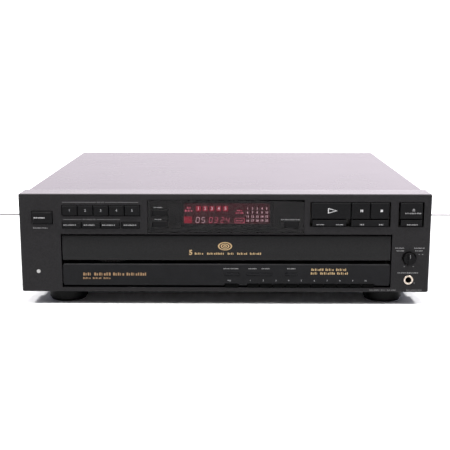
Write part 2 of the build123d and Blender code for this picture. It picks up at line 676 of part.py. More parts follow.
def number_keys():
    """The row of number keys: thin ledges on flexing arms that hang from one bar."""
    y0 = FRONT_Y + STRIP_RECESS - NUMBER_KEY_PROUD
    y1 = FRONT_Y + STRIP_RECESS + STRIP_THICKNESS + KEY_SEAT
    z0 = STRIP_Z0 - NUMBER_KEY_DROP
    z1 = z0 + NUMBER_KEY_HEIGHT
    spans = number_spans()
    bar_z1 = z1 + 3.0
    row = block(spans[0][0], spans[-1][1], y1, y1 + 1.2, z1 - 0.8, bar_z1)
    for x0, x1 in spans:
        row += block(x0, x1, y0, y1 + 1.2, z0, z1)
    return place("number_keys", row)


def cover_and_chassis():
    """The folded sheet cover, the chassis tray and the rear panel."""
    side = RIGHT - COVER_STEP
    y0 = PANEL_BACK_Y + COVER_GAP
    cover = block(-side, side, y0, BACK_Y, CHASSIS_Z1, COVER_Z1)
    bends = cover.faces().sort_by(Axis.Z)[-1].edges().filter_by(Axis.Y)
    cover = fillet(bends, COVER_BEND)
    inner = side - COVER_SHEET
    cover -= block(-inner, inner, y0 - 1, BACK_Y + 1, CHASSIS_Z0 - 1, COVER_Z1 - COVER_SHEET)
    place("top_cover", cover)

    edge = inner
    back = BACK_Y - CHASSIS_SHEET
    start = FRONT_Y + PANEL_LIP
    tray = block(-edge, edge, start, back, CHASSIS_Z0, CHASSIS_Z1 + CHASSIS_WALL)
    wall = edge - CHASSIS_SHEET
    tray -= block(-wall, wall, start - 1, back + 1, CHASSIS_Z1, CHASSIS_Z1 + CHASSIS_WALL + 1)
    place("bottom_chassis", tray)

    rear = block(-edge, edge, back, BACK_Y, CHASSIS_Z0, COVER_Z1 - COVER_SHEET - COVER_GAP)
    for x in jack_places():
        rear -= level(x, JACK_HEIGHT, back - 1, BACK_Y + 1, JACK_COLLAR_RADIUS + COVER_GAP)
    half = OPTICAL_SIDE / 2 + COVER_GAP
    optical_x = RIGHT - OPTICAL_FROM_SIDE
    rear -= block(optical_x - half, optical_x + half, back - 1, BACK_Y + 1,
                  JACK_HEIGHT - half, JACK_HEIGHT + half)
    rear -= level(LEFT + GLAND_FROM_SIDE, GLAND_HEIGHT, back - 1, BACK_Y + 1, GLAND_RADIUS)
    place("rear_panel", rear)


def feet():
    """Four round feet, each on a narrower pad."""
    x = RIGHT - FOOT_INSET - FOOT_RADIUS
    places = {
        "front": FRONT_Y + FOOT_FRONT + FOOT_RADIUS,
        "back": BACK_Y - FOOT_BACK - FOOT_RADIUS,
    }
    foot = upright(0, 0, FOOT_PAD, CHASSIS_Z0, FOOT_RADIUS)
    foot += upright(0, 0, 0, FOOT_PAD, FOOT_RADIUS - FOOT_PAD_STEP)
    for row, y in places.items():
        place("foot_" + row + "_left", Pos(-x, y, 0) * foot)
        place("foot_" + row + "_right", Pos(x, y, 0) * foot)


# ---------------------------------------------------------------- electrics


def jack_places():
    """The x of each line output."""
    x = RIGHT - JACK_FROM_SIDE
    return (x - JACK_PITCH / 2, x + JACK_PITCH / 2)


def rear_sockets():
    """Line outputs, the closed optical output and the cord's gland."""
    inside = BACK_Y - CHASSIS_SHEET
    x0, x1 = jack_places()
    jacks = block(x0 - 7, x1 + 7, inside - 12, inside, JACK_HEIGHT - 8, JACK_HEIGHT + 8)
    for x in (x0, x1):
        jacks += level(x, JACK_HEIGHT, inside, BACK_Y + JACK_COLLAR, JACK_COLLAR_RADIUS)
        jacks += level(x, JACK_HEIGHT, inside, BACK_Y + JACK_PROUD, JACK_RADIUS)
        jacks -= level(x, JACK_HEIGHT, BACK_Y, BACK_Y + JACK_PROUD + 1, JACK_HOLE_RADIUS)
    place("line_output_jacks", jacks)

    x, half = RIGHT - OPTICAL_FROM_SIDE, OPTICAL_SIDE / 2
    optical = block(x - half, x + half, inside, BACK_Y + 1.5, JACK_HEIGHT - half, JACK_HEIGHT + half)
    optical += block(x - half - 2, x + half + 2, inside - 10, inside,
                     JACK_HEIGHT - half - 1, JACK_HEIGHT + half + 2)
    place("optical_output_jack", optical)

    x = LEFT + GLAND_FROM_SIDE
    gland = level(x, GLAND_HEIGHT, inside - 5, BACK_Y + 3, GLAND_RADIUS - RUNNING)
    gland += level(x, GLAND_HEIGHT, BACK_Y, BACK_Y + 3, GLAND_RADIUS + 1.5)
    gland -= level(x, GLAND_HEIGHT, inside - 6, BACK_Y + 4, GLAND_BORE)
    place("cord_gland", gland)


def headphone_socket():
    """A 6.35 mm socket: bright ring in the front, moulded body behind."""
    y1 = FACE_BACK_Y + SOCKET_LENGTH - PANEL_WALL - SOCKET_PROUD
    half = SOCKET_BODY / 2
    body = block(KNOB_X - half, KNOB_X + half, FACE_BACK_Y, y1, SOCKET_Z - half + 1, SOCKET_Z + half)
    body += level(KNOB_X, SOCKET_Z, FRONT_Y - SOCKET_PROUD, FACE_BACK_Y + 1, SOCKET_RING_RADIUS)
    body -= level(KNOB_X, SOCKET_Z, FRONT_Y - SOCKET_PROUD - 1, y1 + 1, SOCKET_RADIUS)
    place("headphone_jack", body)


def boards():
    """The long board behind the upper keys, the lower board, and the main board."""
    y1 = BOARD_Y + BOARD_THICKNESS
    upper = block(LEFT + 9, RIGHT - 8, BOARD_Y, y1, BAY_Z1 + 4, TOP_Z - 7)
    for rect in upper_keys().values():
        upper += switch((rect[0] + rect[1]) / 2, (rect[2] + rect[3]) / 2)
    for rect in (SEARCH, TRACK):
        for x in (rect[0] + 5, rect[1] - 5):
            upper += switch(x, (rect[2] + rect[3]) / 2)
    place("display_board", upper)

    edge = RIGHT - 8
    lower = block(TEN_X - 6, edge, BOARD_Y, y1, CHASSIS_Z1 + 3, STRIP_Z1)
    lower += block(BAY[1] + 9, edge, BOARD_Y, y1, STRIP_Z1 - 1, KNOB_Z + 12)
    lower -= block(KNOB_X - 9, KNOB_X + 9, BOARD_Y - 1, y1 + 1, CHASSIS_Z1, SOCKET_Z + 9)
    lower += block(KNOB_X - 7, KNOB_X + 7, FACE_BACK_Y + 5, BOARD_Y, KNOB_Z - 7, KNOB_Z + 7)
    lower -= level(KNOB_X, KNOB_Z, FACE_BACK_Y + 4, BOARD_Y - 1, SHAFT_RADIUS + RUNNING)
    for rect in (SCAN, PEAK):
        lower += switch((rect[0] + rect[1]) / 2, (rect[2] + rect[3]) / 2)
    place("key_board", lower)

    x0, x1 = TRAY_X - MAIN_BOARD_LEFT, TRAY_X + MAIN_BOARD_RIGHT
    y0, y1 = GEAR_Y + MAIN_BOARD_GAP, CAM_Y0 - MAIN_BOARD_GAP
    z0 = CHASSIS_Z1 + MAIN_BOARD_LIFT
    top = z0 + BOARD_THICKNESS
    main = block(x0, x1, y0, y1, z0, top)
    for x in (x0 + MAIN_PEG_INSET, x1 - MAIN_PEG_INSET):
        for y in (y0 + MAIN_PEG_INSET, y1 - MAIN_PEG_INSET):
            half = MAIN_PEG_SIDE / 2
            main += block(x - half, x + half, y - half, y + half, CHASSIS_Z1, z0)
    for right, back, side, height in MAIN_PARTS:
        x, y = x0 + right, y0 + back
        main += block(x, x + side, y, y + side, top, top + height)
    place("main_board", main)


def display_tube():
    """The glass display tube between the window and its board."""
    x = (WINDOW[0] + WINDOW[1]) / 2 + TUBE_SHIFT
    z = (WINDOW[2] + WINDOW[3]) / 2 + TUBE_SHIFT
    half, high = TUBE_WIDTH / 2, TUBE_HEIGHT / 2
    tube = block(x - half, x + half, BOARD_Y - TUBE_THICKNESS, BOARD_Y, z - high, z + high)
    place("display_tube", tube)


def power_transformer():
    """The mains transformer beside the mechanism: winding and laminated core."""
    x0 = LEFT + COVER_STEP + COVER_SHEET + CHASSIS_SHEET + TRANSFORMER_GAP
    x1 = TRAY_X - TRAY_HALF_WIDTH - RAIL_GAP - RAIL_WALL - TRANSFORMER_GAP
    y = BACK_Y - TRANSFORMER_FROM_BACK
    core = block(x0 + WINDING_PROUD, x1 - WINDING_PROUD, y - CORE_DEPTH / 2, y + CORE_DEPTH / 2,
                 CHASSIS_Z1, CHASSIS_Z1 + CORE_HEIGHT)
    middle = CHASSIS_Z1 + CORE_HEIGHT / 2
    winding = block(x0, x1, y - WINDING_DEPTH / 2, y + WINDING_DEPTH / 2,
                    middle - WINDING_HEIGHT / 2, middle + WINDING_HEIGHT / 2)
    place("power_transformer", core + winding)


def standby_lamp():
    """The small lamp at the left, just proud of the front."""
    lamp = level(LAMP_X, LAMP_Z, FRONT_Y - 0.5, FACE_BACK_Y + 4, LAMP_RADIUS)
    lamp += level(LAMP_X, LAMP_Z, FACE_BACK_Y, FACE_BACK_Y + 1, LAMP_RADIUS + 0.6)
    place("standby_lamp", lamp)


# ---------------------------------------------------------------- keys and knob


def upper_keys():
    """Every single key of the upper band, by name."""
    keys = {"power_button": POWER}
    for index in range(DISC_COUNT):
        x0 = DISC_ROW[0] + index * DISC_KEY_PITCH + SPLIT / 2
        keys["disc_button_" + str(index + 1)] = (
            x0, x0 + DISC_KEY_PITCH - SPLIT, DISC_ROW[2], DISC_ROW[3],
        )
    for index, name in enumerate(("continue_button", "shuffle_button", "program_button")):
        x0 = MODE_ROW[0] + index * MODE_KEY_PITCH + SPLIT / 2
        keys[name] = (x0, x0 + MODE_KEY_PITCH - SPLIT, MODE_ROW[2], MODE_ROW[3])
    keys["repeat_button"] = REPEAT
    keys["play_button"] = PLAY
    keys["pause_button"] = PAUSE
    keys["stop_button"] = STOP
    keys["open_button"] = OPEN
    keys["skip_button"] = SKIP
    keys["time_button"] = TIME
    keys["edit_button"] = EDIT
    keys["fade_button"] = FADE
    return keys


def keys_and_rockers():
    """All caps of the front."""
    top_row = ("play_button", "pause_button", "stop_button", "open_button")
    for name, rect in upper_keys().items():
        if name in ("time_button", "edit_button", "fade_button"):
            window_key(name, rect)
        elif name == "power_button":
            place(name, key_cap(rect, POWER_PROUD, POWER_BEVEL))
        else:
            place(name, key_cap(rect, above=name != "skip_button", below=name not in top_row))
    place("search_rocker", rocker(SEARCH))
    place("track_rocker", rocker(TRACK))
    strip_cap("scan_key", SCAN)
    strip_cap("peak_key", PEAK)
    rect = CHECK
    y0 = FRONT_Y + STRIP_RECESS - STRIP_KEY_RECESS
    lip_y = FRONT_Y + STRIP_RECESS + STRIP_THICKNESS + KEY_TRAVEL
    bar = slab(rect, y0, lip_y + 1.0)
    bar += slab((rect[0], rect[1], rect[2] - KEY_LIP, rect[3] + KEY_LIP), lip_y, lip_y + 1.0)
    place("check_rocker", bar)


def rocker(rect):
    """A wide key that tips about its middle; its lip stands off the face to leave it room."""
    lip_y = FACE_BACK_Y + KEY_TRAVEL
    x0, x1, z0, z1 = rect
    cap = slab(rect, FRONT_Y - KEY_PROUD, lip_y + KEY_LIP_THICKNESS)
    cap = chamfer(front_edges(cap), KEY_BEVEL)
    lip = (x0, x1, z0 - KEY_GAP - KEY_LIP, z1)
    return cap + slab(lip, lip_y, lip_y + KEY_LIP_THICKNESS)


def level_knob():
    """The small knob: a skirted cylinder with one ridge across its face, on a round shaft."""
    y0 = FRONT_Y - KNOB_PROUD
    knob = level(KNOB_X, KNOB_Z, y0 + 2.0, FACE_BACK_Y, KNOB_RADIUS)
    ridge = block(KNOB_X - KNOB_RIDGE, KNOB_X + KNOB_RIDGE, y0, y0 + 2.5,
                  KNOB_Z - KNOB_RADIUS, KNOB_Z + KNOB_RADIUS)
    ridge &= level(KNOB_X, KNOB_Z, y0 - 1, y0 + 5, KNOB_RADIUS)
    knob += ridge
    knob += level(KNOB_X, KNOB_Z, FACE_BACK_Y, BOARD_Y - 1.5, SHAFT_RADIUS)
    place("level_knob", knob)


# ---------------------------------------------------------------- drawer and carousel


def loading_tray():
    """The drawer: a flat deck round a deep well, a rack below, and a slot for the base unit."""
    x0, x1 = TRAY_X - TRAY_HALF_WIDTH, TRAY_X + TRAY_HALF_WIDTH
    tray = block(x0, x1, TRAY_Y0, TRAY_Y1, TRAY_Z0, TRAY_Z1)
    hollow = block(x0 + TRAY_WALL, x1 - TRAY_WALL, TRAY_Y0 + TRAY_FRONT_WALL, TRAY_Y1 - TRAY_WALL,
                   TRAY_Z0 - 1, TRAY_Z1 - TRAY_FLOOR)
    hollow -= upright(TRAY_X, TABLE_Y, TRAY_Z0 - 2, TRAY_Z1, WELL_RADIUS + TRAY_FLOOR)
    tray -= hollow
    tray -= upright(TRAY_X, TABLE_Y, FLOOR_Z, TRAY_Z1 + 1, WELL_RADIUS)
    half = DECK_HALF_WIDTH + SLOT_MARGIN
    tray -= block(TRAY_X - half, TRAY_X + half, CAM_Y0 - SLOT_AHEAD, TRAY_Y1 + 1, TRAY_Z0 - 1, TRAY_Z1 + 1)
    tray += upright(TRAY_X, TABLE_Y, FLOOR_Z, hub_top(), HUB_POST_RADIUS)
    tray += upright(TRAY_X, TABLE_Y, FLOOR_Z, FLOOR_Z + 2.0, HUB_POST_RADIUS + HUB_SLEEVE_WALL)
    tray += rack()
    place("loading_tray", tray)


def hub_top():
    """The height of the drawer's hub post, just below the inside of the dome."""
    return DOME_Z1 - DOME_TOP_WALL - 0.5


def rack():
    """The rack below the drawer's floor, with a tooth space opposite the loading gear's tooth."""
    pitch = pi * LOADING_MODULE
    slope = tan(PRESSURE_ANGLE) * LOADING_MODULE
    tip, root = LOADING_MODULE, 1.25 * LOADING_MODULE
    half = pitch / 4 - BACKLASH / 2
    y_last = DRAWER_TRAVEL + GEAR_Y + 2.5 * LOADING_RADIUS
    points = [(RACK_X0, TRAY_Y0 + 6), (RACK_X1 - root, TRAY_Y0 + 6)]
    tooth = GEAR_Y - 2.5 * pitch
    while tooth < y_last:
        points += [
            (RACK_X1 - root, tooth - half - slope * 1.25), (RACK_X1 + tip, tooth - half + slope),
            (RACK_X1 + tip, tooth + half - slope), (RACK_X1 - root, tooth + half + slope * 1.25),
        ]
        tooth += pitch
    points += [(RACK_X1 - root, y_last + 3), (RACK_X0, y_last + 3)]
    return extrude(Pos(0, 0, RACK_Z0) * Polygon(*points, align=None), RACK_HEIGHT)


def tray_door():
    """The drawer's door: crowned face, bevelled top edge."""
    y0 = FRONT_Y + DOOR_RECESS
    high = DOOR_Z1 - DOOR_Z0
    x0, x1 = BAY[0] + DOOR_SIDE_GAP, BAY[1] - DOOR_SIDE_GAP
    face = ThreePointArc(
        (y0 + DOOR_CROWN, DOOR_Z0), (y0, DOOR_Z0 + high * 0.45), (y0 + DOOR_CROWN, DOOR_Z1 - DOOR_BEVEL)
    )
    rest = Polyline(
        (y0 + DOOR_CROWN, DOOR_Z1 - DOOR_BEVEL), (y0 + DOOR_CROWN + DOOR_BEVEL, DOOR_Z1),
        (TRAY_Y0, DOOR_Z1), (TRAY_Y0, DOOR_Z0), (y0 + DOOR_CROWN, DOOR_Z0),
    )
    plane = Plane(origin=(x0, 0, 0), x_dir=(0, 1, 0), z_dir=(1, 0, 0))
    place("tray_door", extrude(plane * make_face([face, rest]), x1 - x0))


def pocket(angle):
    """What one pocket takes out of the carousel: two disc seats and the slot to the rim."""
    there = Rot(0, 0, angle) * Pos(POCKET_CIRCLE, 0, 0)
    high = PLATE_Z1 + 1
    seat = upright(0, 0, POCKET_Z, high, POCKET_RADIUS)
    seat += upright(0, 0, SMALL_POCKET_Z, high, SMALL_POCKET_RADIUS)
    half = DISC_SLOT_WIDTH / 2
    seat += upright(0, 0, SKIRT_Z0 - 1, high, half)
    seat += block(0, CAROUSEL_RADIUS, -half, half, SKIRT_Z0 - 1, high)
    return Pos(TRAY_X, TABLE_Y, 0) * there * seat


def carousel():
    """The turning table: five pockets, a skirt, and a domed hub with teeth inside."""
    table = upright(TRAY_X, TABLE_Y, PLATE_Z0, PLATE_Z1, CAROUSEL_RADIUS)
    table += upright(TRAY_X, TABLE_Y, SKIRT_Z0, PLATE_Z0, CAROUSEL_RADIUS)
    table -= upright(TRAY_X, TABLE_Y, SKIRT_Z0 - 1, PLATE_Z0, CAROUSEL_RADIUS - SKIRT_THICKNESS)
    dome = upright(TRAY_X, TABLE_Y, SKIRT_Z0, DOME_Z1, DOME_RADIUS)
    dome = fillet(dome.faces().sort_by(Axis.Z)[-1].edges(), DOME_ROUND)
    table += dome
    for index in range(DISC_COUNT):
        table -= pocket(90 + 360 / DISC_COUNT * index)
    cavity = upright(TRAY_X, TABLE_Y, SKIRT_Z0 - 1, RING_Z0, RING_ROOT)
    cavity += upright(TRAY_X, TABLE_Y, RING_Z1, DOME_Z1 - DOME_TOP_WALL, RING_ROOT)
    spaces = gear_outline(TABLE_RING_TEETH, TABLE_MODULE, 1.25, 1.0, -BACKLASH, -pi / 2)
    cavity += extrude(Pos(TRAY_X, TABLE_Y, RING_Z0) * spaces, RING_Z1 - RING_Z0)
    table -= cavity
    sleeve = HUB_POST_RADIUS + HUB_SLEEVE_WALL
    table += upright(TRAY_X, TABLE_Y, FLOOR_Z + 2.1, DOME_Z1 - DOME_TOP_WALL, sleeve)
    table -= upright(TRAY_X, TABLE_Y, FLOOR_Z, DOME_Z1 - DOME_TOP_WALL, HUB_POST_RADIUS + RUNNING)
    place("carousel", table)


def table_drive():
    """The motor under the dome and its pinion, which meets the ring of teeth at the front."""
    y = TABLE_Y - TABLE_PINION_OFFSET
    motor_z1 = FLOOR_Z + TABLE_MOTOR_HEIGHT
    motor = upright(TRAY_X, y, FLOOR_Z, motor_z1, MOTOR_RADIUS)
    motor -= upright(TRAY_X, y, motor_z1 - 4, motor_z1 + 1, SPINDLE_RADIUS + RUNNING)
    place("table_motor", motor)
    pinion = gear(TABLE_PINION_TEETH, TABLE_MODULE, TRAY_X, y, RING_Z0 + 0.3, RING_Z1 - 0.3, -pi / 2)
    pinion += upright(TRAY_X, y, motor_z1 - 3.5, RING_Z0 + 1, SPINDLE_RADIUS)
    place("table_pinion", pinion)


# ---------------------------------------------------------------- loading drive and frame


def loading_drive():
    """Rack pinion and wheel in one moulding, the motor's pinion, and the motor."""
    compound = gear(LOADING_TEETH, LOADING_MODULE, GEAR_X, GEAR_Y, WHEEL_Z1, TRAY_Z0 - 0.4, pi)
    compound += gear(WHEEL_TEETH, WHEEL_MODULE, GEAR_X, GEAR_Y, WHEEL_Z0, WHEEL_Z1 + 0.01)
    compound -= upright(GEAR_X, GEAR_Y, WHEEL_Z0 - 1, TRAY_Z0, GEAR_PIN_RADIUS + RUNNING)
    place("loading_gear", compound)
    facing = pi + pi / PINION_TEETH
    pinion = gear(PINION_TEETH, WHEEL_MODULE, MOTOR_X, GEAR_Y, WHEEL_Z0, WHEEL_Z1, facing)
    pinion += upright(MOTOR_X, GEAR_Y, beam_z0() - 3.5, WHEEL_Z0 + 0.5, SPINDLE_RADIUS)
    place("motor_pinion", pinion)
    motor = upright(MOTOR_X, GEAR_Y, beam_z0() - LOADING_MOTOR_HEIGHT, beam_z0(), MOTOR_RADIUS)
    motor -= upright(MOTOR_X, GEAR_Y, beam_z0() - 4, beam_z0() + 1, SPINDLE_RADIUS + RUNNING)
    place("loading_motor", motor)


def beam_z0():
    """The underside of the beam that carries the loading drive."""
    return WHEEL_Z0 - WHEEL_LIFT - DRIVE_BEAM


def rail(side, a, b, z0, z1):
    """A bar along one side of the drawer, between two distances from the drawer's middle."""
    xa, xb = TRAY_X + side * a, TRAY_X + side * b
    return block(min(xa, xb), max(xa, xb), TRAY_Y0 + RAIL_START, DECK_Y1 + RAIL_BEHIND_DECK, z0, z1)


def mechanism_frame():
    """One moulding: two C rails for the drawer, three cross beams and two posts."""
    y1 = DECK_Y1 + RAIL_BEHIND_DECK
    inner = TRAY_HALF_WIDTH + RAIL_GAP
    outer = inner + RAIL_WALL
    x0, x1 = TRAY_X - outer, TRAY_X + outer
    ledge_z1 = TRAY_Z0 - GUIDE_GAP
    lip_z0 = TRAY_Z1 + GUIDE_GAP
    beam_top = beam_z0() + DRIVE_BEAM
    frame = block(x0, x0 + DRIVE_BEAM_LENGTH, GEAR_Y - DRIVE_BEAM_HALF, GEAR_Y + DRIVE_BEAM_HALF,
                  beam_z0(), beam_top)
    for side in (-1, 1):
        frame += rail(side, inner, outer, CHASSIS_Z1, lip_z0 + RAIL_LIP)
        frame += rail(side, outer - RAIL_LEDGE, outer, ledge_z1 - RAIL_LEDGE_THICKNESS, ledge_z1)
        frame += rail(side, inner - RAIL_HOOK, outer, lip_z0, lip_z0 + RAIL_LIP)
    frame += upright(GEAR_X, GEAR_Y, beam_top - 1, TRAY_Z0 - FREE_GAP, GEAR_PIN_RADIUS)
    frame -= upright(MOTOR_X, GEAR_Y, beam_z0() - 1, beam_top + 1, SPINDLE_RADIUS + FREE_GAP)
    cam_beam = block(x0, x1, CAM_Y0 - CAM_BEAM_WALL, DECK_Y0 + DECK_THICKNESS - GUIDE_GAP,
                     CHASSIS_Z1, cam_z0() + CAM_BEAM_RISE)
    cam_beam -= block(TRAY_X - CAM_TROUGH, TRAY_X + CAM_TROUGH, CAM_Y0 - GUIDE_GAP, CAM_Y1 + GUIDE_GAP,
                      cam_z0() - GUIDE_GAP, cam_z0() + CAM_BEAM_RISE + 1)
    frame += cam_beam
    frame += block(x0, x1, y1 - BACK_BEAM, y1, CHASSIS_Z1, CHASSIS_Z1 + BACK_BEAM_HEIGHT)
    for side in (-1, 1):
        x = TRAY_X + side * POST_REACH
        y = PLAY_Y + POST_BACK
        frame += block(x - 2 * POST_RADIUS, x + 2 * POST_RADIUS, y - 2 * POST_RADIUS, y1,
                       CHASSIS_Z1, CHASSIS_Z1 + POST_RADIUS)
        frame += upright(x, y, CHASSIS_Z1, DECK_Z1 + LIFT + FREE_GAP, POST_RADIUS)
    place("mechanism_frame", frame)


def cam_z0():
    """The bottom edge of the cam slide."""
    return CAM_PIN_Z - CAM_PIN_RADIUS - 5.0


def cam_slide():
    """The upright plate whose two inclined slots lift the base unit."""
    reach = CAM_PIN_REACH + CAM_PIN_RADIUS + 4
    z1 = CAM_PIN_Z + LIFT + CAM_PIN_RADIUS + 2.0
    plate = block(TRAY_X - reach - CAM_TRAVEL, TRAY_X + reach, CAM_Y0, CAM_Y1, cam_z0(), z1)
    run = sqrt(CAM_TRAVEL**2 + LIFT**2)
    width = 2 * (CAM_PIN_RADIUS + CAM_SLOT_PLAY)
    slope = -degrees_of(LIFT / CAM_TRAVEL)
    for x in (-CAM_PIN_REACH, CAM_PIN_REACH):
        middle = Plane(
            origin=(TRAY_X + x - CAM_TRAVEL / 2, CAM_Y0 - 1, CAM_PIN_Z + LIFT / 2),
            x_dir=(1, 0, 0), z_dir=(0, -1, 0),
        )
        slot = Rot(0, 0, slope) * SlotCenterToCenter(run, width)
        plate -= extrude(middle * slot, -(CAM_THICKNESS + 2))
    place("cam_slide", plate)


def degrees_of(slope):
    """The angle of a slope, in degrees."""
    return acos(1 / sqrt(1 + slope**2)) * 180 / pi


# ---------------------------------------------------------------- base unit


def base_unit():
    """The rising deck with its motor, pickup window, guide rod and cam pins."""
    x0, x1 = TRAY_X - DECK_HALF_WIDTH, TRAY_X + DECK_HALF_WIDTH
    deck = block(x0, x1, DECK_Y0, DECK_Y1, DECK_Z0 - DECK_SKIRT, DECK_Z1)
    deck -= block(x0 + DECK_THICKNESS, x1 - DECK_THICKNESS, DECK_Y0 + DECK_THICKNESS,
                  DECK_Y1 - DECK_THICKNESS, DECK_Z0 - DECK_SKIRT - 1, DECK_Z0)
    deck += block(x0, x1, DECK_Y0, DECK_Y0 + DECK_THICKNESS, DECK_Z0 - DECK_FRONT_SKIRT, DECK_Z0)
    window_y0 = PLAY_Y + LENS_START - 10
    window_y1 = DECK_Y1 - DECK_THICKNESS - 1
    window = PICKUP_HALF_WIDTH + 4
    deck -= block(TRAY_X - window, TRAY_X + window, window_y0, window_y1, DECK_Z0 - 1, DECK_Z1 + 1)
    for side in (-1, 1):
        x = TRAY_X + side * POST_REACH
        y = PLAY_Y + POST_BACK
        deck += upright(x, y, DECK_Z0 - DECK_SKIRT + 1, DECK_Z1, POST_RADIUS + 2)
        deck -= upright(x, y, DECK_Z0 - DECK_SKIRT, DECK_Z1 + 1, POST_RADIUS + RUNNING)
        deck += level(TRAY_X + side * CAM_PIN_REACH, CAM_PIN_Z, CAM_Y0 + 0.2, DECK_Y0 + 1, CAM_PIN_RADIUS)
    deck += upright(TRAY_X, PLAY_Y, DECK_Z0 - 6, DECK_Z0 + 0.5, 12.0)
    deck -= upright(TRAY_X, PLAY_Y, DECK_Z0 - 4, DECK_Z1 + 1, SPINDLE_RADIUS + RUNNING)
    deck += level(rod_x(), rod_z(), window_y0 - 4, DECK_Y1 - 1, ROD_RADIUS)
    deck += block(rod_x() - 3, rod_x() + 3, window_y0 - 6, window_y0 - 2, rod_z() - 2, DECK_Z0)
    place("base_unit", deck)


def rod_x():
    return TRAY_X - PICKUP_HALF_WIDTH + 4.0


def rod_z():
    return DECK_Z0 - 4.0


def disc_platter():
    """The platter and centring cone on the spindle."""
    platter = upright(TRAY_X, PLAY_Y, PLATTER_Z - PLATTER_THICKNESS, PLATTER_Z, PLATTER_RADIUS)
    cone = Cone(CONE_RADIUS, CONE_RADIUS - 1.0, CONE_HEIGHT)
    platter += Pos(TRAY_X, PLAY_Y, PLATTER_Z + CONE_HEIGHT / 2) * cone
    platter += upright(TRAY_X, PLAY_Y, DECK_Z0 - 3.5, PLATTER_Z - 1, SPINDLE_RADIUS)
    place("disc_platter", platter)


def optical_pickup():
    """The pickup: a body on the guide rod, an arm over the deck, and a lens below the disc."""
    y0 = PLAY_Y + LENS_START - 5
    x0, x1 = TRAY_X - PICKUP_HALF_WIDTH, TRAY_X + PICKUP_HALF_WIDTH
    lens_z = PLATTER_Z - LENS_GAP
    body = block(x0, x1, y0, y0 + PICKUP_LENGTH, DECK_Z0 - 7.5, DECK_Z1 + 4.5)
    body += block(x1 - 1, x1 + 9, y0 + 6, y0 + 14, DECK_Z1 + 0.2, DECK_Z1 + ARM_THICKNESS)
    body += block(TRAY_X - 8, TRAY_X + 8, y0, y0 + 14, DECK_Z1 + 4, lens_z - 2)
    body += upright(TRAY_X, y0 + 5, lens_z - 3, lens_z, LENS_RADIUS)
    body -= level(rod_x(), rod_z(), y0 - 1, y0 + PICKUP_LENGTH + 1, ROD_RADIUS + RUNNING)
    place("optical_pickup", body)


def clamping():
    """The folded bridge over the drawer and the clamper that hangs in it."""
    rail_z = TRAY_Z1 + GUIDE_GAP + RAIL_LIP
    bridge_z = rail_z + BRIDGE_RISE
    outer = TRAY_HALF_WIDTH + RAIL_GAP + RAIL_WALL
    y0, y1 = PLAY_Y - BRIDGE_HALF_DEPTH, PLAY_Y + BRIDGE_HALF_DEPTH
    bridge = block(TRAY_X - outer, TRAY_X + outer, y0, y1, bridge_z, bridge_z + BRIDGE_SHEET)
    for y in (y0, y1 - BRIDGE_SHEET):
        bridge += block(TRAY_X - outer, TRAY_X + outer, y, y + BRIDGE_SHEET,
                        bridge_z, bridge_z + BRIDGE_FLANGE)
    for x in (TRAY_X - outer, TRAY_X + outer - BRIDGE_LEG):
        bridge += block(x, x + BRIDGE_LEG, y0, y1, rail_z, bridge_z + BRIDGE_SHEET)
    bridge -= upright(TRAY_X, PLAY_Y, bridge_z - 1, bridge_z + 3, CLAMPER_NECK + 1)
    place("clamp_bridge", bridge)

    disc_top = PLATTER_UP_Z + DISC_THICKNESS
    z0 = disc_top + CLAMPER_GAP
    clamper = upright(TRAY_X, PLAY_Y, z0, bridge_z - 1.5, CLAMPER_RADIUS)
    clamper += upright(TRAY_X, PLAY_Y, z0, bridge_z + BRIDGE_SHEET + 1, CLAMPER_NECK)
    flange_z = bridge_z + BRIDGE_SHEET + 0.4
    clamper += upright(TRAY_X, PLAY_Y, flange_z, flange_z + CLAMPER_FLANGE, CLAMPER_RADIUS)
    clamper -= upright(TRAY_X, PLAY_Y, z0 - 1, z0 + CLAMPER_RECESS, CONE_RADIUS + 0.9)
    place("disc_clamper", clamper)


def build():
    """Every piece of the player."""
    front_panel()
    display_window()
    control_strip()
    cover_and_chassis()
    feet()
    rear_sockets()
    headphone_socket()
    boards()
    display_tube()
    power_transformer()
    standby_lamp()
    keys_and_rockers()
    number_keys()
    level_knob()
    loading_tray()
    tray_door()
    carousel()
    table_drive()
    loading_drive()
    mechanism_frame()
    cam_slide()
    base_unit()
    disc_platter()
    optical_pickup()
    clamping()


build()
os.makedirs("parts", exist_ok=True)
for name, solid in NODES.items():
    export_step(solid, "parts/" + name + ".step")
print(len(NODES), "pieces; width", round(WIDTH, 2), "depth", round(BODY_DEPTH, 2), "height", round(TOP_Z, 2))
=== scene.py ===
from math import cos, pi, sin

import bmesh
import bpy
from mathutils import Matrix, Vector
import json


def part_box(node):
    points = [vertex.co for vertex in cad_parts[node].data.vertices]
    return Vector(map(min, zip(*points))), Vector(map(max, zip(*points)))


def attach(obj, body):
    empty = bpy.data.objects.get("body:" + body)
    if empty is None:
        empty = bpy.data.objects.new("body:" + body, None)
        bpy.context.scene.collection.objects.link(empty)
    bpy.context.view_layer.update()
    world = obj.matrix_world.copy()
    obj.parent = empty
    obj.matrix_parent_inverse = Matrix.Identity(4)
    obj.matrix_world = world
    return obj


# A full-width disc changer, dressed round its CAD frame. Lengths are millimetres until a piece is made.

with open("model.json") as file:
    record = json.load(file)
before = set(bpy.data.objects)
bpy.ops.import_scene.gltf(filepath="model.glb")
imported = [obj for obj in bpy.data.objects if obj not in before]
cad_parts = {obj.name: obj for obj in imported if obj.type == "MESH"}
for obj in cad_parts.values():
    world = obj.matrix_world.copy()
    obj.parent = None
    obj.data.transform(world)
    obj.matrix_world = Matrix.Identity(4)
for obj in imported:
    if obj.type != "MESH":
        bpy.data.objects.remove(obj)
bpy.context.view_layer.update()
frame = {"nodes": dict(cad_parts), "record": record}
MM = 0.001


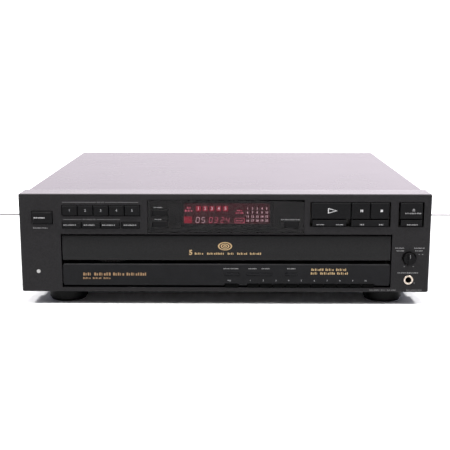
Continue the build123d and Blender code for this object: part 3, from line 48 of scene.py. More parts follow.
def box(node):
    """The lowest and highest corner of a CAD node at rest, in millimetres."""
    low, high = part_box(node)
    return low / MM, high / MM


# ---------------------------------------------------------------- places that the CAD gives

PANEL_LOW, PANEL_HIGH = box("front_panel")
FACE_Y = PANEL_LOW.y  # the front's face
BASE_Z = PANEL_LOW.z  # its bottom edge; heights of printing are counted from here
DOOR_Y = box("tray_door")[0].y
STRIP_Y = box("control_strip")[0].y
TUBE_Y = box("display_tube")[0].y
WINDOW_LOW, WINDOW_HIGH = box("display_window")
TABLE_LOW, TABLE_HIGH = box("carousel")
TABLE_X = (TABLE_LOW.x + TABLE_HIGH.x) / 2
TABLE_Y = (TABLE_LOW.y + TABLE_HIGH.y) / 2
REAR_LOW, REAR_HIGH = box("rear_panel")
COVER_LOW, COVER_HIGH = box("top_cover")
KNOB_LOW, KNOB_HIGH = box("level_knob")
KNOB_X = (KNOB_LOW.x + KNOB_HIGH.x) / 2
KNOB_Z = (KNOB_LOW.z + KNOB_HIGH.z) / 2
SOCKET_LOW, SOCKET_HIGH = box("headphone_jack")

INK = 0.03  # how far printing stands out
SINK = 0.05  # how far printing and small pieces reach into what carries them
FONT_SIZE = 1.4  # size of the type over the height of its figures

# ---------------------------------------------------------------- meshes


def rounded(x0, x1, z0, z1, radius, steps=3):
    """The outline of a rectangle with round corners."""
    radius = min(radius, (x1 - x0) / 2, (z1 - z0) / 2)
    corners = (
        (x1 - radius, z0 + radius, -pi / 2), (x1 - radius, z1 - radius, 0),
        (x0 + radius, z1 - radius, pi / 2), (x0 + radius, z0 + radius, pi),
    )
    return [
        (x + radius * cos(start + pi / 2 * k / steps), z + radius * sin(start + pi / 2 * k / steps))
        for x, z, start in corners for k in range(steps + 1)
    ]


def prism(bm, outline, y0, y1):
    """A solid between two planes across the player's depth; the outline is (x, z) points."""
    front = [bm.verts.new((x, y0, z)) for x, z in outline]
    back = [bm.verts.new((x, y1, z)) for x, z in outline]
    count = len(outline)
    bm.faces.new(front)
    bm.faces.new(back[::-1])
    for k in range(count):
        bm.faces.new((front[k], back[k], back[(k + 1) % count], front[(k + 1) % count]))


def frame_of(bm, outer, inner, y0, y1):
    """A flat ring between two outlines with as many points."""
    rings = [
        [bm.verts.new((x, y, z)) for x, z in outline]
        for outline, y in ((outer, y0), (outer, y1), (inner, y1), (inner, y0))
    ]
    count = len(outer)
    for a, b in zip(rings, rings[1:] + rings[:1]):
        for k in range(count):
            bm.faces.new((a[k], a[(k + 1) % count], b[(k + 1) % count], b[k]))


def turned(bm, profile, centre, along, segments=32):
    """A turned form: (radius, height) points spun about an axis through centre."""
    turn = Vector((0, 0, 1)).rotation_difference(Vector(along)).to_matrix()
    rings = []
    for radius, height in profile:
        if radius == 0:
            rings.append([bm.verts.new(Vector(centre) + turn @ Vector((0, 0, height)))])
            continue
        rings.append([
            bm.verts.new(Vector(centre) + turn @ Vector((
                radius * cos(2 * pi * k / segments), radius * sin(2 * pi * k / segments), height)))
            for k in range(segments)
        ])
    for a, b in zip(rings, rings[1:]):
        if len(a) == len(b) == 1:
            continue
        for k in range(segments):
            corners = [a[k % len(a)], a[(k + 1) % len(a)], b[(k + 1) % len(b)], b[k % len(b)]]
            bm.faces.new(list(dict.fromkeys(corners)))


def glyphs(bm, text, x, z, y, height, turn=None, weight=0.0):
    """Printed figures, centred on (x, z) and facing the front, or turned by a matrix."""
    curve = bpy.data.curves.new("figures", "FONT")
    curve.body = text
    curve.size = height * FONT_SIZE
    curve.align_x = "CENTER"
    curve.align_y = "CENTER"
    curve.extrude = INK / 2
    curve.offset = weight
    curve.resolution_u = 3
    holder = bpy.data.objects.new("figures", curve)
    mesh = bpy.data.meshes.new_from_object(holder)
    place = Matrix.Translation((x, y, z)) @ (turn or Matrix.Rotation(pi / 2, 4, "X"))
    mesh.transform(place)
    bm.from_mesh(mesh)
    bpy.data.objects.remove(holder)
    bpy.data.curves.remove(curve)
    bpy.data.meshes.remove(mesh)


def piece(name, bm, body, material, smooth=False):
    """Turns a millimetre mesh into a piece that rides on a body."""
    bmesh.ops.scale(bm, vec=(MM, MM, MM), verts=bm.verts)
    bmesh.ops.recalc_face_normals(bm, faces=bm.faces)
    for face in bm.faces:
        face.smooth = smooth
    mesh = bpy.data.meshes.new(name)
    bm.to_mesh(mesh)
    bm.free()
    made = bpy.data.objects.new(name, mesh)
    bpy.context.scene.collection.objects.link(made)
    mesh.materials.append(material)
    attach(made, body)
    return made


# ---------------------------------------------------------------- effects shared by the materials


def new_group(name, inputs, outputs):
    """An empty shader group with its sockets."""
    tree = bpy.data.node_groups.new(name, "ShaderNodeTree")
    for label, value in inputs:
        kind = "NodeSocketVector" if isinstance(value, tuple) else "NodeSocketFloat"
        tree.interface.new_socket(label, in_out="INPUT", socket_type=kind).default_value = value
    for label, kind in outputs:
        tree.interface.new_socket(label, in_out="OUTPUT", socket_type=kind)
    return tree, tree.nodes.new("NodeGroupInput").outputs, tree.nodes.new("NodeGroupOutput").inputs


def add(tree, kind, inputs=(), **settings):
    """A node with some of its settings and inputs filled in."""
    made = tree.nodes.new(kind)
    for key, value in settings.items():
        setattr(made, key, value)
    for socket, value in dict(inputs).items():
        if isinstance(value, bpy.types.NodeSocket):
            tree.links.new(value, made.inputs[socket])
        else:
            made.inputs[socket].default_value = value
    return made


def noise(tree, vector, scale, detail=2.0, roughness=0.5):
    """A cloudy value."""
    return add(tree, "ShaderNodeTexNoise", {
        "Vector": vector, "Scale": scale, "Detail": detail, "Roughness": roughness}).outputs["Fac"]


def math(tree, operation, first, second=0.0):
    """One sum with one or two values."""
    return add(tree, "ShaderNodeMath", {0: first, 1: second}, operation=operation).outputs[0]


def spread(tree, value, low, high, out_low=0.0, out_high=1.0):
    """Stretches a value from one range to another, clamped."""
    return add(tree, "ShaderNodeMapRange", {
        "Value": value, "From Min": low, "From Max": high, "To Min": out_low, "To Max": out_high,
    }).outputs[0]


def where(tree):
    """The place on the piece, in metres."""
    return add(tree, "ShaderNodeTexCoord").outputs["Object"]


def upward(tree):
    """How far a face looks up."""
    normal = add(tree, "ShaderNodeNewGeometry").outputs["Normal"]
    return add(tree, "ShaderNodeSeparateXYZ", {0: normal}).outputs["Z"]


def grain_group():
    """Fine grain of a moulded or painted surface: a height and a speckle."""
    tree, given, out = new_group(
        "moulded_grain", [("Size", 2500.0), ("Coarse", 300.0)],
        [("Height", "NodeSocketFloat"), ("Speckle", "NodeSocketFloat")])
    place = where(tree)
    fine = noise(tree, place, given["Size"], 1.0)
    broad = noise(tree, place, given["Coarse"], 3.0)
    height = math(tree, "ADD", fine, math(tree, "MULTIPLY", broad, 0.4))
    tree.links.new(height, out["Height"])
    tree.links.new(spread(tree, broad, 0.35, 0.65), out["Speckle"])
    return tree


def handling_group():
    """Broad marks of handling and cleaning, as a roughness between two values."""
    tree, given, out = new_group(
        "handling_marks", [("Low", 0.3), ("High", 0.4), ("Size", 12.0)], [("Roughness", "NodeSocketFloat")])
    place = where(tree)
    cloud = noise(tree, place, given["Size"], 4.0, 0.6)
    wipes = add(tree, "ShaderNodeMapping", {"Vector": place, "Scale": (6.0, 90.0, 40.0)}).outputs[0]
    streak = noise(tree, wipes, 1.0, 2.0)
    mixed = math(tree, "ADD", math(tree, "MULTIPLY", cloud, 0.7), math(tree, "MULTIPLY", streak, 0.3))
    tree.links.new(spread(tree, mixed, 0.35, 0.65, given["Low"], given["High"]), out["Roughness"])
    return tree


def edge_group():
    """Edges rounded by moulding and worn by use: a softened normal, and a mask for paler edges that is wear
    and, where a material lifts it strongly, a painted highlight.
    """
    tree, given, out = new_group(
        "worn_and_highlit_edges", [("Radius", 0.0004), ("Wear", 0.5)],
        [("Normal", "NodeSocketVector"), ("Mask", "NodeSocketFloat")])
    soft = add(tree, "ShaderNodeBevel", {"Radius": given["Radius"]}, samples=4).outputs[0]
    true = add(tree, "ShaderNodeNewGeometry").outputs["Normal"]
    facing = add(tree, "ShaderNodeVectorMath", {0: soft, 1: true}, operation="DOT_PRODUCT").outputs["Value"]
    edge = spread(tree, facing, 0.99, 0.75)
    patches = spread(tree, noise(tree, where(tree), 90.0, 4.0), 0.35, 0.65)
    tree.links.new(soft, out["Normal"])
    worn_and_highlit = math(tree, "MULTIPLY", edge, math(tree, "MULTIPLY", patches, given["Wear"]))
    tree.links.new(worn_and_highlit, out["Mask"])
    return tree


def dust_group():
    """Dust that has settled on faces that look up, thicker in patches."""
    tree, given, out = new_group(
        "settled_dust", [("Amount", 0.2), ("Size", 25.0)], [("Mask", "NodeSocketFloat")])
    place = where(tree)
    film = spread(tree, noise(tree, place, given["Size"], 5.0, 0.65), 0.4, 0.75)
    specks = spread(tree, noise(tree, place, 900.0, 1.0), 0.68, 0.74)
    both = math(tree, "ADD", math(tree, "MULTIPLY", film, 0.6), specks)
    lying = math(tree, "MULTIPLY", both, spread(tree, upward(tree), 0.3, 0.9))
    tree.links.new(math(tree, "MULTIPLY", lying, given["Amount"]), out["Mask"])
    return tree


def lacquer_group():
    """Lacquer that lies thicker on faces that look up, with the slight unevenness of spraying."""
    tree, given, out = new_group("lacquered_top", [("Amount", 1.0)], [("Mask", "NodeSocketFloat")])
    cloud = spread(tree, noise(tree, where(tree), 20.0, 3.0), 0.2, 0.6, 0.9, 1.0)
    faces = math(tree, "MULTIPLY", spread(tree, upward(tree), 0.5, 0.9), cloud)
    tree.links.new(math(tree, "MULTIPLY", faces, given["Amount"]), out["Mask"])
    return tree


def brushed_group():
    """Drawn or rolled metal: fine lines along one axis, and blotches of its plating."""
    tree, given, out = new_group(
        "drawn_metal", [("Stretch", (30.0, 900.0, 900.0)), ("Blotch", 60.0)],
        [("Lines", "NodeSocketFloat"), ("Blotches", "NodeSocketFloat")])
    place = where(tree)
    run = add(tree, "ShaderNodeMapping", {"Vector": place, "Scale": given["Stretch"]}).outputs[0]
    tree.links.new(noise(tree, run, 1.0, 2.0), out["Lines"])
    cells = add(tree, "ShaderNodeTexVoronoi", {"Vector": place, "Scale": given["Blotch"]})
    tree.links.new(spread(tree, cells.outputs["Distance"], 0.0, 0.8), out["Blotches"])
    return tree


GRAIN, HANDLING, EDGES, DUST, LACQUER, DRAWN = (
    grain_group(), handling_group(), edge_group(), dust_group(), lacquer_group(), brushed_group())

# ---------------------------------------------------------------- materials

DUST_COLOUR = (0.32, 0.30, 0.29, 1.0)


def blank(name):
    """A new material with its tree and its shader."""
    material = bpy.data.materials.new(name)
    material.use_nodes = True
    return material, material.node_tree, material.node_tree.nodes["Principled BSDF"]


def use(tree, group, **inputs):
    """Places one of the shared effects in a material."""
    made = add(tree, "ShaderNodeGroup", node_tree=group)
    for key, value in inputs.items():
        made.inputs[key].default_value = value
    return made.outputs


def blend(tree, mask, first, second):
    """Mixes two colours by a mask."""
    made = add(tree, "ShaderNodeMix", data_type="RGBA")
    for socket, value in ((0, mask), (6, first), (7, second)):
        if isinstance(value, bpy.types.NodeSocket):
            tree.links.new(value, made.inputs[socket])
        else:
            made.inputs[socket].default_value = value
    return made.outputs[2]


def grey(value, tint=(1.0, 1.0, 1.0)):
    """A grey, or a grey leaning towards a tint."""
    return (value * tint[0], value * tint[1], value * tint[2], 1.0)


def moulding(name, colour, rough, grain=(2500.0, 300.0), depth=0.00002, edge=0.0003, wear_and_highlight=0.35, dust=0.1,
             specular=0.5, coat=0.0, mottle=0.25, wear_and_highlight_lift=2.2):
    """A moulded or painted surface: grain, handling marks, paler edges and dust; the paler edges are wear,
    and on the door and the strip also a painted highlight.

    Depth and edge are metres; grain is the fine and the coarse scale; wear_and_highlight_lift is how much
    paler the worn and highlit edges are.
    """
    material, tree, shader = blank(name)
    surface = use(tree, GRAIN, Size=grain[0], Coarse=grain[1])
    marks = use(tree, HANDLING, Low=rough[0], High=rough[1])
    edges = use(tree, EDGES, Radius=edge, Wear=wear_and_highlight)
    settled = use(tree, DUST, Amount=dust)
    deep = tuple(c * (1 - mottle) for c in colour[:3]) + (1.0,)
    light = tuple(min(c * wear_and_highlight_lift + 0.004, 1.0) for c in colour[:3]) + (1.0,)
    body = blend(tree, surface["Speckle"], deep, colour)
    body = blend(tree, edges["Mask"], body, light)
    body = blend(tree, settled["Mask"], body, DUST_COLOUR)
    bump = add(tree, "ShaderNodeBump", {
        "Height": surface["Height"], "Normal": edges["Normal"], "Distance": depth, "Strength": 1.0})
    tree.links.new(body, shader.inputs["Base Color"])
    tree.links.new(marks["Roughness"], shader.inputs["Roughness"])
    tree.links.new(bump.outputs[0], shader.inputs["Normal"])
    shader.inputs["Specular IOR Level"].default_value = specular
    shader.inputs["Coat Weight"].default_value = coat
    shader.inputs["Coat Roughness"].default_value = 0.04
    return material


def metal(name, colour, shade, rough, stretch=(30.0, 900.0, 900.0), blotch=60.0, edge=0.0002):
    """Plated or bare metal with drawn lines, blotches and softened edges."""
    material, tree, shader = blank(name)
    drawn = use(tree, DRAWN, Stretch=stretch, Blotch=blotch)
    marks = use(tree, HANDLING, Low=rough[0], High=rough[1])
    edges = use(tree, EDGES, Radius=edge, Wear=0.2)
    body = blend(tree, drawn["Blotches"], shade, colour)
    body = blend(tree, math(tree, "MULTIPLY", drawn["Lines"], 0.3), body, shade)
    bump = add(tree, "ShaderNodeBump", {
        "Height": drawn["Lines"], "Normal": edges["Normal"], "Distance": 0.00001, "Strength": 1.0})
    tree.links.new(body, shader.inputs["Base Color"])
    tree.links.new(marks["Roughness"], shader.inputs["Roughness"])
    tree.links.new(bump.outputs[0], shader.inputs["Normal"])
    shader.inputs["Metallic"].default_value = 1.0
    return material


def ink(name, colour, shade, rough=(0.4, 0.55), metallic=0.0):
    """Printing: slightly uneven colour."""
    material, tree, shader = blank(name)
    surface = use(tree, GRAIN, Size=4000.0, Coarse=1500.0)
    marks = use(tree, HANDLING, Low=rough[0], High=rough[1])
    tree.links.new(blend(tree, surface["Speckle"], shade, colour), shader.inputs["Base Color"])
    tree.links.new(marks["Roughness"], shader.inputs["Roughness"])
    bump = add(tree, "ShaderNodeBump", {"Height": surface["Height"], "Distance": 0.000005, "Strength": 1.0})
    tree.links.new(bump.outputs[0], shader.inputs["Normal"])
    shader.inputs["Metallic"].default_value = metallic
    return material


def smoked_window():
    """The smoked plastic of the window, with faint wiping marks."""
    colour = grey(0.075, (1.1, 0.95, 1.0))
    material, tree, shader = blank("smoked_window")
    surface = use(tree, GRAIN, Size=1200.0, Coarse=200.0)
    marks = use(tree, HANDLING, Low=0.05, High=0.09)
    settled = use(tree, DUST, Amount=0.1)
    deep = tuple(c * 0.85 for c in colour[:3]) + (1.0,)
    body = blend(tree, surface["Speckle"], deep, colour)
    tree.links.new(blend(tree, settled["Mask"], body, DUST_COLOUR), shader.inputs["Base Color"])
    tree.links.new(marks["Roughness"], shader.inputs["Roughness"])
    bump = add(tree, "ShaderNodeBump", {"Height": surface["Height"], "Distance": 0.0000005, "Strength": 1.0})
    tree.links.new(bump.outputs[0], shader.inputs["Normal"])
    shader.inputs["Transmission Weight"].default_value = 1.0
    shader.inputs["Specular IOR Level"].default_value = 0.2
    shader.inputs["IOR"].default_value = 1.24
    return material


def glowing(name, colour, base, strength, size=700.0):
    """Lit phosphor, with the fine mesh that lies over it as a variation in brightness; the display's dim red
    field uses it as painted glow.
    """
    material, tree, shader = blank(name)
    surface = use(tree, GRAIN, Size=size, Coarse=80.0)
    dim = tuple(c * 0.7 for c in colour[:3]) + (1.0,)
    tree.links.new(blend(tree, surface["Speckle"], dim, colour), shader.inputs["Emission Color"])
    tree.links.new(blend(tree, surface["Speckle"], base, colour), shader.inputs["Base Color"])
    marks = use(tree, HANDLING, Low=0.4, High=0.5)
    tree.links.new(marks["Roughness"], shader.inputs["Roughness"])
    shader.inputs["Emission Strength"].default_value = strength
    return material


def cover_paint():
    """Dark satin paint on sheet steel; it mirrors the room when seen from low down."""
    material = moulding("cover_paint", grey(0.06, (1.04, 0.95, 1.05)), (0.26, 0.28), (1800.0, 500.0),
                        0.000006, edge=0.0006, wear_and_highlight=0.2, dust=0.08, specular=0.8, mottle=0.12)
    shader = material.node_tree.nodes["Principled BSDF"]
    shader.inputs["IOR"].default_value = 1.8
    shader.inputs["Specular Tint"].default_value = (1.0, 0.92, 1.0, 1.0)
    return material


def panel_plastic():
    """The front's fine-grained plastic; its rim over the cover is lacquered like the sheet metal."""
    material = moulding("panel_plastic", grey(0.017, (1.02, 0.98, 1.03)), (0.42, 0.50), (2600.0, 700.0),
                        0.00003, edge=0.0003, wear_and_highlight=0.25, dust=0.05, specular=0.09, wear_and_highlight_lift=1.6)
    tree = material.node_tree
    shader = tree.nodes["Principled BSDF"]
    tree.links.new(use(tree, LACQUER, Amount=1.0)["Mask"], shader.inputs["Coat Weight"])
    shader.inputs["Coat Roughness"].default_value = 0.2
    shader.inputs["Coat IOR"].default_value = 1.75
    shader.inputs["Coat Tint"].default_value = (1.0, 0.94, 1.0, 1.0)
    return material


def laminations():
    """The transformer's stacked plates and varnish."""
    material, tree, shader = blank("transformer_iron")
    place = where(tree)
    plates = add(tree, "ShaderNodeTexWave", {
        "Vector": place, "Scale": 160.0, "Distortion": 0.3, "Detail": 1.0}, bands_direction="Y")
    marks = use(tree, HANDLING, Low=0.35, High=0.55)
    edges = use(tree, EDGES, Radius=0.0005, Wear=0.4)
    body = blend(tree, plates.outputs["Fac"], (0.10, 0.075, 0.05, 1.0), (0.24, 0.21, 0.17, 1.0))
    tree.links.new(blend(tree, edges["Mask"], body, (0.4, 0.38, 0.34, 1.0)), shader.inputs["Base Color"])
    tree.links.new(marks["Roughness"], shader.inputs["Roughness"])
    bump = add(tree, "ShaderNodeBump", {
        "Height": plates.outputs["Fac"], "Normal": edges["Normal"], "Distance": 0.00015, "Strength": 0.6})
    tree.links.new(bump.outputs[0], shader.inputs["Normal"])
    shader.inputs["Metallic"].default_value = 0.5
    return material


MATERIALS = {
    "cover_paint": cover_paint(),
    "panel_plastic": panel_plastic(),
    "key_plastic": moulding("key_plastic", grey(0.005, (0.98, 0.98, 1.06)), (0.30, 0.40), (2600.0, 500.0),
                            0.000012, edge=0.00022, wear_and_highlight=0.5, dust=0.06, specular=0.08),
    # The strip's strong edge settings paint a highlight along its edges, on top of their real wear.
    "strip_gloss": moulding("strip_gloss", grey(0.006, (0.95, 0.95, 1.1)), (0.10, 0.16), (600.0, 120.0),
                            0.000002, edge=0.0008, wear_and_highlight=0.8, dust=0.04, specular=0.10, wear_and_highlight_lift=6.0),
    "smoked_window": smoked_window(),
    # The door's strong edge settings paint a highlight along its edges, wanted mostly on the top edge, on
    # top of their real wear.
    "door_plastic": moulding("door_plastic", grey(0.011, (1.0, 1.0, 1.02)), (0.30, 0.38), (2600.0, 600.0),
                             0.000018, edge=0.0008, wear_and_highlight=0.8, dust=0.05, specular=0.11, wear_and_highlight_lift=4.0),
    "drawer_plastic": moulding("drawer_plastic", grey(0.02), (0.38, 0.48), (2200.0, 500.0), 0.00003,
                               edge=0.0004, wear_and_highlight=0.3, dust=0.08),
    "zinc_steel": metal("zinc_steel", grey(0.62, (1.0, 1.0, 0.96)), grey(0.45, (1.0, 1.0, 0.94)),
                        (0.28, 0.42)),
    # The feet's near-black is partly their black plastic and partly painted shade, as they stand in the
    # shadow under the player; the lips round the feet use it too.
    "foot_plastic": moulding("foot_plastic", grey(0.003), (0.45, 0.55), (1800.0, 400.0), 0.00003,
                             edge=0.0006, wear_and_highlight=0.3, dust=0.03, specular=0.10),
    "white_plastic": moulding("white_plastic", grey(0.66, (1.0, 0.98, 0.93)), (0.30, 0.40), (1500.0, 300.0),
                              0.00001, edge=0.0002, wear_and_highlight=0.1, dust=0.1, mottle=0.06, wear_and_highlight_lift=1.05),
    "frame_plastic": moulding("frame_plastic", grey(0.018), (0.45, 0.58), (1800.0, 400.0), 0.00004,
                              edge=0.0004, wear_and_highlight=0.3, dust=0.15),
    "board": moulding("board", (0.030, 0.022, 0.012, 1.0), (0.35, 0.5), (1500.0, 250.0), 0.00002,
                      edge=0.0002, wear_and_highlight=0.3, dust=0.1, mottle=0.3),
    "tube_glass": moulding("tube_glass", grey(0.010, (1.1, 0.9, 0.95)), (0.06, 0.10), (900.0, 200.0),
                           0.000002, edge=0.0004, wear_and_highlight=0.1, dust=0.05),
    "lamp_lens": moulding("lamp_lens", grey(0.36, (1.0, 0.99, 0.97)), (0.16, 0.22), (900.0, 200.0), 0.000004,
                          edge=0.0003, wear_and_highlight=0.1, dust=0.05, mottle=0.1, wear_and_highlight_lift=1.2),
    "socket_ring": metal("socket_ring", (0.66, 0.58, 0.50, 1.0), (0.50, 0.42, 0.34, 1.0), (0.22, 0.32),
                         (400.0, 400.0, 400.0), 300.0),
    "transformer_iron": laminations(),
    "motor_steel": metal("motor_steel", grey(0.60), grey(0.42), (0.22, 0.34), (900.0, 900.0, 40.0)),
    "terminal_plastic": moulding("terminal_plastic", grey(0.014), (0.35, 0.45), (1800.0, 300.0), 0.00001,
                                 edge=0.0003, wear_and_highlight=0.3, dust=0.1),
    "black_rubber": moulding("black_rubber", grey(0.014), (0.6, 0.75), (900.0, 250.0), 0.00004,
                             edge=0.0004, wear_and_highlight=0.2, dust=0.2, specular=0.3),
}
BRIGHT_INK = ink("bright_ink", grey(0.52, (1.0, 0.99, 1.0)), grey(0.42))
WHITE_INK = ink("white_ink", grey(0.27, (1.0, 0.99, 1.0)), grey(0.20))
DIM_INK = ink("dim_ink", grey(0.13), grey(0.09))
FIGURE_INK = ink("figure_ink", grey(0.36, (0.98, 0.99, 1.04)), grey(0.26))
GOLD_INK = ink("gold_ink", (0.42, 0.30, 0.15, 1.0), (0.29, 0.19, 0.08, 1.0), (0.3, 0.42), 0.2)
COPPER_INK = ink("copper_ink", (0.30, 0.18, 0.08, 1.0), (0.20, 0.11, 0.05, 1.0), (0.3, 0.42), 0.2)
GLOW_RED = glowing("glow_red", (0.55, 0.03, 0.07, 1.0), (0.05, 0.01, 0.012, 1.0), 5.5)
# The display's dim red field is painted glow, not a lit part of the tube.
PAINTED_GLOW_FIELD = glowing("painted_glow_field", (0.24, 0.035, 0.055, 1.0), (0.04, 0.01, 0.012, 1.0), 1.8, 300.0)
GLOW_WHITE = glowing("glow_white", (1.0, 0.72, 0.78, 1.0), (0.3, 0.25, 0.26, 1.0), 7.0)
GLOW_PINK = glowing("glow_pink", (0.95, 0.22, 0.32, 1.0), (0.2, 0.05, 0.07, 1.0), 7.5)
BLACK_BORE = moulding("black_bore", grey(0.004), (0.5, 0.6), dust=0.0, wear_and_highlight=0.0, specular=0.2)
# Near-black for the painted shadow strip along the top of the window.
SHADOW_BLACK = moulding("painted_shadow_black", grey(0.001), (0.85, 0.95), (1400.0, 500.0), dust=0.0, wear_and_highlight=0.0,
                      specular=0.0)
CHANNEL_WHITE = moulding("channel_white", grey(0.62), (0.35, 0.45), dust=0.1, mottle=0.06, wear_and_highlight_lift=1.05)
CHANNEL_RED = moulding("channel_red", (0.42, 0.02, 0.02, 1.0), (0.35, 0.45), dust=0.1, mottle=0.1,
                       wear_and_highlight_lift=1.2)
LENS_GLASS = moulding("lens_glass", (0.04, 0.05, 0.12, 1.0), (0.04, 0.07), dust=0.02, wear_and_highlight=0.0, coat=1.0)

# Nodes that look darker than their slot: dull steel below, darkened further as painted shade under the
# player; duller galvanised steel behind; and keys tucked under the strip, darkened as painted shade.
FINISHES_AND_SHADE = {
    "bottom_chassis": metal("chassis_zinc_painted_shade", grey(0.07), grey(0.05), (0.5, 0.65)),
    "rear_panel": metal("rear_zinc", grey(0.24, (1.0, 1.0, 0.97)), grey(0.195, (1.0, 1.0, 0.96)),
                        (0.38, 0.50), (300.0, 300.0, 300.0), 110.0),
    # The number keys' near-black is painted shade: they lie in the shadow under the strip.
    "number_keys": moulding("tucked_keys_painted_shade", grey(0.002), (0.4, 0.5), wear_and_highlight=0.1, dust=0.0, specular=0.02),
}

for node in frame["record"]["subparts"]:
    carried = frame["nodes"][node["node"]]
    carried.data.materials.clear()
    carried.data.materials.append(FINISHES_AND_SHADE.get(node["node"], MATERIALS[node["material_slot"]]))

# ---------------------------------------------------------------- printing on the front

# Rows of blocks are (from, to, height over the front's bottom edge).
PANEL_WORDS = (
    (-200.3, -184.5, 68.9), (178.6, 188.2, 48.0), (180.0, 188.2, 45.1), (198.2, 209.3, 48.0),
    (199.6, 207.4, 45.1), (182.0, 204.0, 21.3),
)
WINDOW_WORDS = ((-74.0, -64.4, 90.7), (-73.0, -66.0, 78.0), (58.8, 78.8, 78.0))
DISC_LINE, MODE_LINE = 96.2, 78.1  # heights of the ruled lines over two rows of keys
RULED_LINES = (
    (-169.1, -133.4, DISC_LINE), (-124.6, -89.8, DISC_LINE),
    (-168.5, -149.2, MODE_LINE), (-133.6, -109.4, MODE_LINE),
)
LINE_WORDS = ((-132.4, -125.6, DISC_LINE, 1.3), (-148.2, -134.6, MODE_LINE, 1.2))
DIAL_MARKS = ((188.7, 28.2), (198.1, 28.2), (203.8, 41.3), (207.2, 41.3), (199.8, 10.3))
FOOTER_WORDS = ((153.0, 163.5, 2.5), (165.0, 169.8, 2.5), (171.4, 181.0, 2.5), (192.0, 208.0, 2.5))
KEY_WORDS = {
    "power_button": (-198.8, -187.3, 80.1),
    "continue_button": (-168.3, -155.1, 72.3), "shuffle_button": (-147.1, -135.5, 72.3),
    "program_button": (-127.9, -114.4, 72.3), "repeat_button": (-105.3, -92.1, 72.3),
    "skip_button": (189.3, 200.9, 73.2), "open_button": (187.1, 203.8, 85.2),
}
SEARCH_WORDS = ((95.5, 103.5, 73.2), (115.6, 123.2, 73.2))
STRIP_WORDS = (
    (-1.3, 5.0, 25.4), (6.2, 14.5, 25.4), (25.0, 33.5, 25.4), (38.8, 47.2, 25.4), (65.7, 74.6, 25.4),
)
RIGHT_CLAIMS = (
    (91.2, 104.4, 24.4), (106.0, 115.2, 24.4), (117.2, 128.6, 24.4),
    (90.6, 98.6, 20.4), (100.6, 116.4, 20.4), (118.4, 130.6, 20.4),
)
LEFT_CLAIMS = ((-149.6, -140.2, 19.2), (-138.0, -120.0, 19.2), (-118.0, -105.6, 19.2), (-103.8, -82.0, 19.2))
LOW_CLAIMS = ((-149.8, -141.6, 14.8), (-139.6, -130.0, 14.8), (-128.2, -120.6, 14.8))
DOOR_WORDS = (
    (-31.6, -22.2, 41.6), (-18.6, -0.4, 41.6), (3.0, 10.4, 41.6), (13.0, 24.2, 41.6), (26.4, 38.5, 41.6),
)
DISC_FIGURES = 87.7  # heights of the figures on the disc keys and on the strip
STRIP_FIGURES = 12.4
SIGNS, SKIP_SIGNS, OPEN_SIGN = 87.8, 73.2, 88.6  # heights of the signs on the transport keys
PLAY_X, PAUSE_X, STOP_X = 112.0, (141.15, 142.85), (161.3, 163.9)
SKIP_X, OPEN_X = (142.8, 162.2), (194.2, 197.2)
DOOR_FIGURE, DOOR_SIGN = (-35.8, 42.6), (0.2, 49.6)  # middles of the door's figure and of its disc sign
SIGN_RINGS = ((4.4, 3.5), (2.7, 1.9), (1.2, 0.5))
SIGN_WIDTH = 1.7  # width of the disc sign over its height
LETTER = 0.80  # width of one printed block with its gap, as a share of its height
BLOCK_WIDTHS = (0.72, 0.48, 0.62, 0.30, 0.66, 0.52, 0.70)  # how much of that is ink, from block to block
BLOCK_TOPS = (1.0, 0.8, 1.0, 0.9, 0.75, 1.0)  # how much of the height a block has


def blocks(bm, x0, x1, z, height, y):
    """A row of small plain blocks of uneven size, in place of a printed word."""
    count = max(2, round((x1 - x0) / (height * LETTER)))
    pitch = (x1 - x0) / count
    for k in range(count):
        left = x0 + k * pitch
        right = left + pitch * BLOCK_WIDTHS[k % len(BLOCK_WIDTHS)]
        top = z - height / 2 + height * BLOCK_TOPS[k % len(BLOCK_TOPS)]
        prism(bm, rounded(left, right, z - height / 2, top, 0.12, 1), y, y + INK + SINK)


def line(bm, x0, x1, z, height, y):
    """One short printed line."""
    prism(bm, rounded(x0, x1, z - height / 2, z + height / 2, 0.1, 1), y, y + INK + SINK)


def words(name, rows, y, body, material, height):
    """One piece of printing: rows of blocks, each from x0 to x1 at a height above the base."""
    bm = bmesh.new()
    for x0, x1, z in rows:
        blocks(bm, x0, x1, BASE_Z + z, height, y - INK)
    return piece(name, bm, body, material)


def cap_front(node):
    """Where a key's front is at rest."""
    return box(node)[0].y


def panel_printing():
    """Printing on the front moulding: words by the keys, the knob and the socket, and two ruled lines."""
    bm = bmesh.new()
    for rows, y in ((PANEL_WORDS, FACE_Y), (WINDOW_WORDS, WINDOW_LOW.y)):
        for x0, x1, z in rows:
            blocks(bm, x0, x1, BASE_Z + z, 1.1, y - INK)
    piece("panel_words", bm, "cabinet", WHITE_INK)
    bm = bmesh.new()
    for x0, x1, z in RULED_LINES:
        line(bm, x0, x1, BASE_Z + z, 0.45, FACE_Y - INK)
    for x0, x1, z, height in LINE_WORDS:
        blocks(bm, x0, x1, BASE_Z + z, height, FACE_Y - INK)
    piece("panel_lines", bm, "cabinet", DIM_INK)
    bm = bmesh.new()
    for x, z in DIAL_MARKS:
        line(bm, x - 0.7, x + 0.7, BASE_Z + z, 0.9, FACE_Y - INK)
    piece("panel_marks", bm, "cabinet", DIM_INK)
    words("panel_footer", FOOTER_WORDS, FACE_Y, "cabinet", DIM_INK, 1.3)


